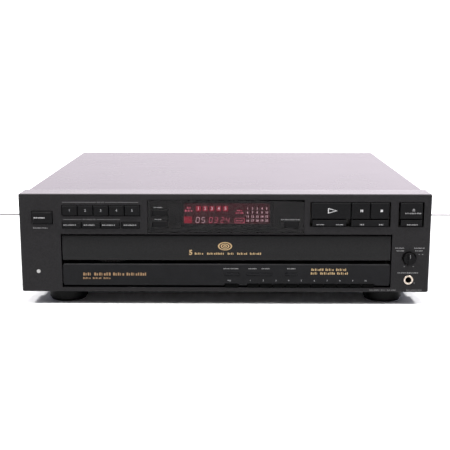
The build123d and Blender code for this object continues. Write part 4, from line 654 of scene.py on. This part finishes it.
def key_printing():
    """Words and figures on the caps, each riding on its own key."""
    for key, row in KEY_WORDS.items():
        paint = BRIGHT_INK if key == "power_button" else WHITE_INK
        words(key + "_words", (row,), cap_front(key), key, paint, 1.4)
    words("search_words", SEARCH_WORDS, cap_front("search_rocker"), "search_rocker",
          WHITE_INK, 1.15)
    for number in range(1, 6):
        key = "disc_button_%d" % number
        low, high = box(key)
        bm = bmesh.new()
        glyphs(bm, str(number), (low.x + high.x) / 2, BASE_Z + DISC_FIGURES, low.y - INK / 2, 2.6)
        piece(key + "_figure", bm, key, FIGURE_INK)


def triangle(x, z, half, high):
    """A triangle that points to the right, round (x, z)."""
    return [(x - half, z - high), (x + half, z), (x - half, z + high)]


def transport_signs():
    """Play, pause, stop, skip and eject signs."""
    y = cap_front("play_button") - INK
    bm = bmesh.new()
    z = BASE_Z + SIGNS
    frame_of(bm, triangle(PLAY_X, z, 5.0, 2.9), triangle(PLAY_X - 0.5, z, 3.6, 1.9), y, y + SINK)
    piece("play_sign", bm, "play_button", BRIGHT_INK)
    bm = bmesh.new()
    for x in PAUSE_X:
        prism(bm, rounded(x - 0.5, x + 0.5, z - 1.3, z + 1.3, 0.1, 1), y, y + SINK)
    piece("pause_sign", bm, "pause_button", BRIGHT_INK)
    bm = bmesh.new()
    prism(bm, rounded(STOP_X[0], STOP_X[1], z - 1.2, z + 1.3, 0.15, 1), y, y + SINK)
    piece("stop_sign", bm, "stop_button", BRIGHT_INK)
    bm = bmesh.new()
    z = BASE_Z + SKIP_SIGNS
    y = cap_front("track_rocker") - INK
    for x, way in zip(SKIP_X, (-1, 1)):
        for tip in (x - 1.0 + way * 0.9, x + 1.0 + way * 0.9):
            prism(bm, [(tip - way * 1.8, z - 0.9), (tip, z), (tip - way * 1.8, z + 0.9)], y, y + SINK)
        line(bm, x + way * 2.1 - 0.2, x + way * 2.1 + 0.2, z, 1.8, y)
    piece("track_signs", bm, "track_rocker", WHITE_INK)
    bm = bmesh.new()
    z = BASE_Z + OPEN_SIGN
    y = cap_front("open_button") - INK
    left, right = OPEN_X
    prism(bm, [(left, z), (right, z), ((left + right) / 2, z + 1.8)], y, y + SINK)
    line(bm, left, right, z - 0.8, 0.6, y)
    piece("open_sign", bm, "open_button", WHITE_INK)


def strip_printing():
    """Words and figures on the glossy strip."""
    y = STRIP_Y
    words("strip_words", STRIP_WORDS, y, "cabinet", WHITE_INK, 1.1)
    bm = bmesh.new()
    for number in range(10):
        glyphs(bm, str(number + 1), 27.0 + 13.5 * number, BASE_Z + STRIP_FIGURES, y - INK / 2, 1.7)
    glyphs(bm, ">10", 4.6, BASE_Z + STRIP_FIGURES, y - INK / 2, 1.7)
    piece("strip_figures", bm, "cabinet", FIGURE_INK)
    words("strip_claims", RIGHT_CLAIMS, y, "cabinet", GOLD_INK, 2.5)
    words("strip_claims_left", LEFT_CLAIMS, y, "cabinet", COPPER_INK, 3.2)
    words("strip_claims_low", LOW_CLAIMS, y, "cabinet", COPPER_INK, 1.9)


def door_printing():
    """Gold printing on the drawer's door: a plain disc sign and a row of blocks."""
    y = DOOR_Y
    words("door_words", DOOR_WORDS, y, "drawer", GOLD_INK, 2.2)
    bm = bmesh.new()
    glyphs(bm, "5", DOOR_FIGURE[0], BASE_Z + DOOR_FIGURE[1], y - INK, 5.2, weight=0.25)
    piece("door_figure", bm, "drawer", GOLD_INK)
    bm = bmesh.new()
    x, z = DOOR_SIGN[0], BASE_Z + DOOR_SIGN[1]
    turns = [2 * pi * k / 36 for k in range(36)]
    for outer, inner in SIGN_RINGS:
        rings = [[(x + SIGN_WIDTH * r * cos(t), z + r * sin(t)) for t in turns] for r in (outer, inner)]
        frame_of(bm, rings[0], rings[1], y - INK, y + SINK)
    piece("door_disc_sign", bm, "drawer", GOLD_INK)


# ---------------------------------------------------------------- the lit display

DISPLAY_Y = TUBE_Y - 0.2
DROP = 1.0  # the lit signs lie behind the window, so they sit a little lower than they look
DISC_PLACES = [-27.7 + 7.1 * k for k in range(5)]  # where the discs' numbers are lit
DISC_BOX = (2.6, 87.0, 92.6)  # half the width, lowest and highest
PAINTED_GLOW_BOX = (-43.0, 47.0, 73.4, 95.4)
TRACK_BOX = (-43.0, -34.4, 74.4, 81.4)
DISC_NUMBERS = 89.8
TRACK_LEFT, TRACK_PITCH = -30.4, 5.8
TIME_LINE = 74.9  # bottom of the track's and the time's figures
TIME_FIGURES = ((-16.6, "0"), (-11.2, "3"), (-4.4, "2"), (1.0, "4"))
GRID_LEFT, GRID_TOP, GRID_ACROSS, GRID_DOWN = 23.9, 89.9, 4.95, 4.3
LIT_WORDS = (
    (12.0, 18.8, 77.1, 1.5), (11.2, 19.6, 85.2, 1.5), (12.6, 18.4, 87.8, 1.5),
    (-41.8, -33.6, 87.6, 2.2), (-39.6, -35.4, 90.6, 2.0),
)
LEAN = 0.12  # how far the lit figures lean
SEGMENTS = {"0": "abcdef", "1": "bc", "2": "abged", "3": "abgcd", "4": "fgbc", "5": "afgcd", "-": "g"}


def digit(bm, figure, x, z, width, height, y, stroke=0.55):
    """A seven-segment figure with its lower left corner at (x, z)."""
    middle, top = z + height / 2, z + height
    bars = {
        "a": (x, top, x + width, top), "g": (x, middle, x + width, middle), "d": (x, z, x + width, z),
        "f": (x, middle, x, top), "b": (x + width, middle, x + width, top),
        "e": (x, z, x, middle), "c": (x + width, z, x + width, middle),
    }
    for name in SEGMENTS[figure]:
        x0, z0, x1, z1 = bars[name]
        shrink = stroke * 0.6
        if z0 == z1:
            outline = [(x0 + shrink, z0 - stroke / 2), (x1 - shrink, z0 - stroke / 2),
                       (x1 - shrink / 2, z0), (x1 - shrink, z0 + stroke / 2),
                       (x0 + shrink, z0 + stroke / 2), (x0 + shrink / 2, z0)]
        else:
            outline = [(x0 - stroke / 2, z0 + shrink), (x0, z0 + shrink / 2), (x0 + stroke / 2, z0 + shrink),
                       (x0 + stroke / 2, z1 - shrink), (x0, z1 - shrink / 2), (x0 - stroke / 2, z1 - shrink)]
        prism(bm, [(a + (b - z) * LEAN, b) for a, b in outline], y, y + INK)


def display():
    """What the tube shows: disc numbers, track and time, a few signs and a grid of track numbers."""
    base = BASE_Z - DROP
    field_y = DISPLAY_Y + 2 * INK
    bm = bmesh.new()
    # A dim red painted glow over the whole display area, behind the lit signs.
    x0, x1, z0, z1 = PAINTED_GLOW_BOX
    prism(bm, rounded(x0, x1, base + z0, base + z1, 2.0), field_y, TUBE_Y + SINK)
    piece("display_painted_glow", bm, "cabinet", PAINTED_GLOW_FIELD)
    bm = bmesh.new()
    half, z0, z1 = DISC_BOX
    boxes = [rounded(x - half, x + half, base + z0, base + z1, 0.4, 1) for x in DISC_PLACES]
    x0, x1, z0, z1 = TRACK_BOX
    boxes.append(rounded(x0, x1, base + z0, base + z1, 0.8))
    for outline in boxes:
        prism(bm, outline, DISPLAY_Y + INK, field_y + INK)
    piece("display_lit_boxes", bm, "cabinet", GLOW_RED)
    bm = bmesh.new()
    for number, x in enumerate(DISC_PLACES):
        glyphs(bm, str(number + 1), x, base + DISC_NUMBERS, DISPLAY_Y, 3.4, weight=0.12)
    for row in range(4):
        for column in range(5):
            x, z = GRID_LEFT + GRID_ACROSS * column, base + GRID_TOP - GRID_DOWN * row
            glyphs(bm, str(row * 5 + column + 1), x, z, DISPLAY_Y, 2.3, weight=0.10)
    piece("display_numbers", bm, "cabinet", GLOW_WHITE)
    bm = bmesh.new()
    for index, figure in enumerate("05"):
        digit(bm, figure, TRACK_LEFT + TRACK_PITCH * index, base + TIME_LINE, 3.2, 5.6, DISPLAY_Y)
    piece("display_track", bm, "cabinet", GLOW_WHITE)
    bm = bmesh.new()
    for x, figure in TIME_FIGURES:
        digit(bm, figure, x, base + TIME_LINE, 3.0, 5.4, DISPLAY_Y, 0.45)
    for z in (76.6, 78.6):
        line(bm, -6.7, -6.0, base + z, 0.6, DISPLAY_Y)
    outer = rounded(10.2, 20.6, base + 74.4, base + 79.8, 1.0)
    inner = rounded(10.6, 20.2, base + 74.8, base + 79.4, 0.8)
    frame_of(bm, outer, inner, DISPLAY_Y, DISPLAY_Y + INK)
    for x0, x1, z, height in LIT_WORDS:
        blocks(bm, x0, x1, base + z, height, DISPLAY_Y)
    piece("display_time", bm, "cabinet", GLOW_PINK)


# ---------------------------------------------------------------- small pieces of the front

SOCKET_HEIGHT = 13.8  # the headphone socket's middle over the front's bottom edge
RIB_OUT, RIB_IN = 3.4, 4.8  # the ribs' two faces, from the ends of the front


def socket_pieces():
    """The bright bush of the headphone socket, and the black sleeve in it."""
    x, z = KNOB_X, BASE_Z + SOCKET_HEIGHT
    y = SOCKET_LOW.y
    bm = bmesh.new()
    turned(bm, ((4.95, 0.6), (4.95, -0.1), (4.7, -0.35), (4.2, -0.45), (3.5, -0.35), (3.25, 0.0),
                (3.25, 2.0), (4.0, 2.0), (4.95, 0.6)), (x, y, z), (0, 1, 0), 48)
    piece("headphone_bush", bm, "cabinet", MATERIALS["socket_ring"], True)
    bm = bmesh.new()
    depth = SOCKET_HIGH.y - y - 0.5
    turned(bm, ((3.24, 1.4), (3.24, depth), (0, depth), (0, depth - 0.5), (3.12, depth - 0.5), (3.12, 1.4),
                (3.24, 1.4)), (x, y, z), (0, 1, 0), 32)
    piece("headphone_sleeve", bm, "cabinet", BLACK_BORE, True)


def window_gasket():
    """A black strip along the top of the window: painted shadow standing in for the shade under the recess's
    top edge.
    """
    low, high = WINDOW_LOW, WINDOW_HIGH
    bm = bmesh.new()
    y0, y1 = FACE_Y + 0.15, low.y + SINK
    points = [(low.x - 0.2, high.z - 1.3), (high.x - 50.0, high.z - 1.3), (high.x + 0.2, high.z - 2.6),
              (high.x + 0.2, high.z + 0.25), (low.x - 0.2, high.z + 0.25)]
    prism(bm, points, y0, y1)
    piece("window_gasket", bm, "cabinet", SHADOW_BLACK)


def side_ribs():
    """Ribs inside the front moulding's ends, which keep light out of the gaps round the end keys."""
    back = min(PANEL_HIGH.y - 0.5, COVER_LOW.y - 0.3)
    for side, x0, x1 in (("left", PANEL_LOW.x + RIB_OUT, PANEL_LOW.x + RIB_IN),
                         ("right", PANEL_HIGH.x - RIB_IN, PANEL_HIGH.x - RIB_OUT)):
        bm = bmesh.new()
        prism(bm, rounded(x0, x1, BASE_Z + 6.0, PANEL_HIGH.z - 5.0, 0.4, 1), FACE_Y + 2.4, back)
        piece("side_rib_" + side, bm, "cabinet", BLACK_BORE)


def knob_pointer():
    """The pale line on the knob's ridge."""
    bm = bmesh.new()
    line(bm, KNOB_X - 0.35, KNOB_X + 0.35, KNOB_Z + 3.2, 4.0, KNOB_LOW.y - INK)
    piece("knob_pointer", bm, "level_knob", DIM_INK)


# ---------------------------------------------------------------- case

SIDE_SCREW_Z, REAR_SCREW_Z = 42.0, 24.0
SCREW_IN, SCREW_DOWN = 8, 7  # the rear panel's corner screws, from its ends and its top


def screw(name, x, y, z, along, radius, material):
    """A pan-head screw with a cross recess; along points out of the surface."""
    bm = bmesh.new()
    high = radius * 0.5
    turned(bm, ((0, -0.5), (radius, -0.5), (radius, high * 0.25), (radius * 0.88, high * 0.62),
                (radius * 0.62, high * 0.88), (radius * 0.3, high), (0, high)), (0, 0, 0), (0, 0, 1), 24)
    head = piece(name, bm, "cabinet", material, True)
    cutter_mesh = bmesh.new()
    arm, half = radius * 0.58, radius * 0.13
    for swap in (False, True):
        a, b = (half, arm) if swap else (arm, half)
        bmesh.ops.create_cube(cutter_mesh, size=1.0, matrix=(
            Matrix.Translation((0, 0, high)) @ Matrix.Diagonal((2 * a, 2 * b, high * 1.3, 1.0))))
    bmesh.ops.scale(cutter_mesh, vec=(MM, MM, MM), verts=cutter_mesh.verts)
    mesh = bpy.data.meshes.new(name + "_cutter")
    cutter_mesh.to_mesh(mesh)
    cutter_mesh.free()
    cutter = bpy.data.objects.new(name + "_cutter", mesh)
    bpy.context.scene.collection.objects.link(cutter)
    cut = head.modifiers.new("cross", "BOOLEAN")
    cut.operation = "DIFFERENCE"
    cut.object = cutter
    cut.use_self = True
    bpy.context.view_layer.update()
    done = bpy.data.meshes.new_from_object(head.evaluated_get(bpy.context.evaluated_depsgraph_get()))
    head.modifiers.clear()
    head.data = done
    bpy.data.objects.remove(cutter)
    turn = Vector((0, 0, 1)).rotation_difference(Vector(along)).to_matrix().to_4x4()
    head.data.transform(Matrix.Translation(Vector((x, y, z)) * MM) @ turn)
    return head


def case_screws():
    """Screws in the cover's sides and along the rear panel."""
    paint = MATERIALS["key_plastic"]
    for side, x, way in (("left", COVER_LOW.x, -1), ("right", COVER_HIGH.x, 1)):
        for place, y in (("front", COVER_LOW.y + 60.0), ("back", COVER_HIGH.y - 40.0)):
            screw("cover_screw_%s_%s" % (side, place), x, y, SIDE_SCREW_Z, (way, 0, 0), 3.6, paint)
    left, right, top = REAR_LOW.x + SCREW_IN, REAR_HIGH.x - SCREW_IN, REAR_HIGH.z - SCREW_DOWN
    spots = ((left, top), (right, top), (0.0, top), (left, REAR_SCREW_Z), (right, REAR_SCREW_Z),
             (-60.0, REAR_SCREW_Z), (60.0, REAR_SCREW_Z))
    for index, (x, z) in enumerate(spots):
        screw("rear_screw_%d" % (index + 1), x, REAR_HIGH.y, z, (0, 1, 0), 2.9, paint)
    low, high = box("line_output_jacks")
    x, z = (low.x + high.x) / 2, (low.z + high.z) / 2 + 10.5
    screw("jack_screw", x, REAR_HIGH.y, z, (0, 1, 0), 2.4, paint)


def rear_pieces():
    """Coloured rings round the two output jacks."""
    low, high = box("line_output_jacks")
    middle, z = (low.x + high.x) / 2, (low.z + high.z) / 2
    for side, x, material in (("left", middle - 7.0, CHANNEL_WHITE), ("right", middle + 7.0, CHANNEL_RED)):
        bm = bmesh.new()
        y = REAR_HIGH.y
        turned(bm, ((4.3, 0.4), (4.3, 1.5), (4.6, 1.8), (5.8, 1.8), (6.1, 1.5), (6.1, 0.0), (5.45, 0.0),
                    (5.45, 0.4), (4.3, 0.4)), (x, y, z), (0, 1, 0), 40)
        piece("jack_ring_" + side, bm, "cabinet", material, True)


def foot_lips():
    """The lip of the rim round each foot."""
    for row in ("front", "back"):
        for side in ("left", "right"):
            node = "foot_%s_%s" % (row, side)
            low, high = box(node)
            x, y = (low.x + high.x) / 2, (low.y + high.y) / 2
            top = (high.x - low.x) / 2
            bm = bmesh.new()
            turned(bm, ((top - 0.5, 9.6), (top - 0.02, 9.8), (top + 0.35, 10.2), (top + 0.35, 11.2),
                        (top, 11.6), (top - 0.5, 11.8), (top - 0.5, 9.6)), (x, y, 0.0), (0, 0, 1), 48)
            piece(node + "_lip", bm, "cabinet", MATERIALS["foot_plastic"], True)


# ---------------------------------------------------------------- drawer and mechanism

PLATE_DROP = 6.0  # how far the carousel's plate lies under its hub
FIGURE_IN = 9.0  # its figures, from the rim
SEAT_DROP = 2.0  # how far the ring lies under the top of the platter's cone


def carousel_figures():
    """Figures 1 to 5 on the table, one between each two pockets at the rim, and the hub's cap."""
    bm = bmesh.new()
    plate_z = TABLE_HIGH.z - PLATE_DROP
    radius = (TABLE_HIGH.x - TABLE_LOW.x) / 2 - FIGURE_IN
    for number in range(5):
        angle = pi / 2 + 2 * pi / 5 * (number + 0.5)
        x, y = TABLE_X + radius * cos(angle), TABLE_Y + radius * sin(angle)
        glyphs(bm, str(number + 1), x, plate_z + INK / 2, y, 7.0, Matrix.Rotation(angle + pi / 2, 4, "Z"))
    piece("carousel_figures", bm, "carousel", WHITE_INK)
    bm = bmesh.new()
    top = TABLE_HIGH.z
    turned(bm, ((0, -0.3), (13.0, -0.3), (13.0, 0.15), (12.4, 0.35), (4.2, 0.35), (3.8, -0.1), (0, -0.1)),
           (TABLE_X, TABLE_Y, top), (0, 0, 1), 48)
    piece("carousel_cap", bm, "carousel", MATERIALS["key_plastic"], True)


def pickup_lens():
    """The pickup's lens in its holder."""
    low, high = box("optical_pickup")
    x, y = TABLE_X, low.y + 5.0
    bm = bmesh.new()
    turned(bm, ((0, -0.2), (2.6, -0.2), (2.6, 0.0), (2.0, 0.35), (1.1, 0.6), (0, 0.7)),
           (x, y, high.z), (0, 0, 1), 32)
    piece("pickup_lens", bm, "optical_pickup", LENS_GLASS, True)
    bm = bmesh.new()
    turned(bm, ((2.6, -0.3), (4.1, -0.3), (4.1, 0.1), (3.6, 0.4), (2.8, 0.4), (2.6, 0.1), (2.6, -0.3)),
           (x, y, high.z), (0, 0, 1), 32)
    piece("pickup_lens_holder", bm, "optical_pickup", MATERIALS["terminal_plastic"], True)


def platter_ring():
    """The rubber ring on the platter, on which the disc sits."""
    low, high = box("disc_platter")
    x, y = (low.x + high.x) / 2, (low.y + high.y) / 2
    bm = bmesh.new()
    seat = high.z - SEAT_DROP
    turned(bm, ((11.0, -0.2), (14.6, -0.2), (14.6, 0.25), (14.2, 0.4), (11.4, 0.4), (11.0, 0.25),
                (11.0, -0.2)), (x, y, seat), (0, 0, 1), 48)
    piece("platter_ring", bm, "disc_platter", MATERIALS["black_rubber"], True)


panel_printing()
key_printing()
transport_signs()
strip_printing()
door_printing()
display()
socket_pieces()
knob_pointer()
window_gasket()
side_ribs()
case_screws()
rear_pieces()
foot_lips()
carousel_figures()
pickup_lens()
platter_ring()

# ---------------------------------------------------------------- studio

FLOOR_SIZE = 12.0  # metres from here on
SEAM_Y = 0.3165
SEAM_WIDTH = 0.010
SEAM_Z = 0.0004
ROOM_FRONT, ROOM_BACK = 0.10, 1.55  # how bright the room is in front of and behind the player
TOP_HEIGHT, TOP_STRENGTH, TOP_ANGLE = 1.2, 1.2, 0.6
SIDE_AROUND, SIDE_HEIGHT, SIDE_STRENGTH, SIDE_ANGLE = 1.31, 0.90, 2.9, 0.17
CAMERA_PLACE = (0.00805, -1.0623, 0.2635)
CAMERA_DOWN, CAMERA_ROUND = 0.2001, 0.009  # how far it looks down, and round to the left
CAMERA_LENS = 68.37


def stage_material(name, colour, shade):
    """The floor's matt paint."""
    material, tree, shader = blank(name)
    cloud = use(tree, GRAIN, Size=40.0, Coarse=3.0)["Speckle"]
    tree.links.new(blend(tree, cloud, shade, colour), shader.inputs["Base Color"])
    shader.inputs["Roughness"].default_value = 0.7
    shader.inputs["Specular IOR Level"].default_value = 0.2
    return material


def flat(name, x0, x1, y0, y1, z, material):
    """A level sheet of the stage."""
    mesh = bpy.data.meshes.new(name)
    mesh.from_pydata([(x0, y0, z), (x1, y0, z), (x1, y1, z), (x0, y1, z)], [], [(0, 1, 2, 3)])
    made = bpy.data.objects.new(name, mesh)
    bpy.context.scene.collection.objects.link(made)
    mesh.materials.append(material)
    return made


def far_light(name, around, height, strength, spread_angle):
    """A lamp far off: around is its angle from the front towards the right, height its elevation."""
    place = Vector((sin(around) * cos(height), -cos(around) * cos(height), sin(height)))
    lamp = bpy.data.lights.new(name, "SUN")
    lamp.energy = strength
    lamp.angle = spread_angle
    made = bpy.data.objects.new(name, lamp)
    made.location = place
    made.rotation_euler = (-place).to_track_quat("-Z", "Y").to_euler()
    bpy.context.scene.collection.objects.link(made)
    return made


def room():
    """The world: bright behind the player and to its right, dim in front, bluish at the sides.

    What is seen directly, past the player, is evenly white.
    """
    world = bpy.data.worlds.new("room")
    bpy.context.scene.world = world
    world.use_nodes = True
    tree = world.node_tree
    around = add(tree, "ShaderNodeTexCoord").outputs["Generated"]
    axes = add(tree, "ShaderNodeSeparateXYZ", {0: around}).outputs
    ahead = spread(tree, axes["Y"], -0.3, 0.7, ROOM_FRONT, ROOM_BACK)
    across = spread(tree, axes["X"], -0.3, 0.3, 0.90, 1.10)
    lit = math(tree, "MULTIPLY", ahead, across)
    seen = add(tree, "ShaderNodeLightPath").outputs["Is Camera Ray"]
    strength = math(tree, "MAXIMUM", lit, math(tree, "MULTIPLY", seen, ROOM_BACK))
    tree.links.new(strength, tree.nodes["Background"].inputs["Strength"])
    side = spread(tree, math(tree, "ABSOLUTE", axes["X"]), 0.55, 0.95)
    tint = blend(tree, side, (1.0, 0.93, 1.0, 1.0), (0.62, 0.76, 1.0, 1.0))
    tree.links.new(tint, tree.nodes["Background"].inputs["Color"])


def studio():
    """A white table in a white room, softly lit from above."""
    half = FLOOR_SIZE / 2
    flat("floor", -half, half, -half, half, 0.0, stage_material("floor_white", grey(0.93), grey(0.91)))
    flat("floor_seam", -half, half, SEAM_Y, SEAM_Y + SEAM_WIDTH, SEAM_Z, stage_material(
        "floor_seam", grey(0.09, (1.1, 0.95, 0.95)), grey(0.07)))
    room()
    far_light("overhead", 0.0, TOP_HEIGHT, TOP_STRENGTH, TOP_ANGLE)
    for side in (-1, 1):
        far_light("side_%d" % side, side * SIDE_AROUND, SIDE_HEIGHT, SIDE_STRENGTH, SIDE_ANGLE)


def camera():
    """The photograph's view."""
    data = bpy.data.cameras.new("camera")
    data.lens = CAMERA_LENS
    data.sensor_width = 36.0
    data.clip_end = 50.0
    made = bpy.data.objects.new("camera", data)
    made.location = CAMERA_PLACE
    made.rotation_euler = (pi / 2 - CAMERA_DOWN, 0.0, CAMERA_ROUND)
    bpy.context.scene.collection.objects.link(made)
    bpy.context.scene.camera = made


studio()
camera()
bpy.context.scene.view_settings.view_transform = "Standard"
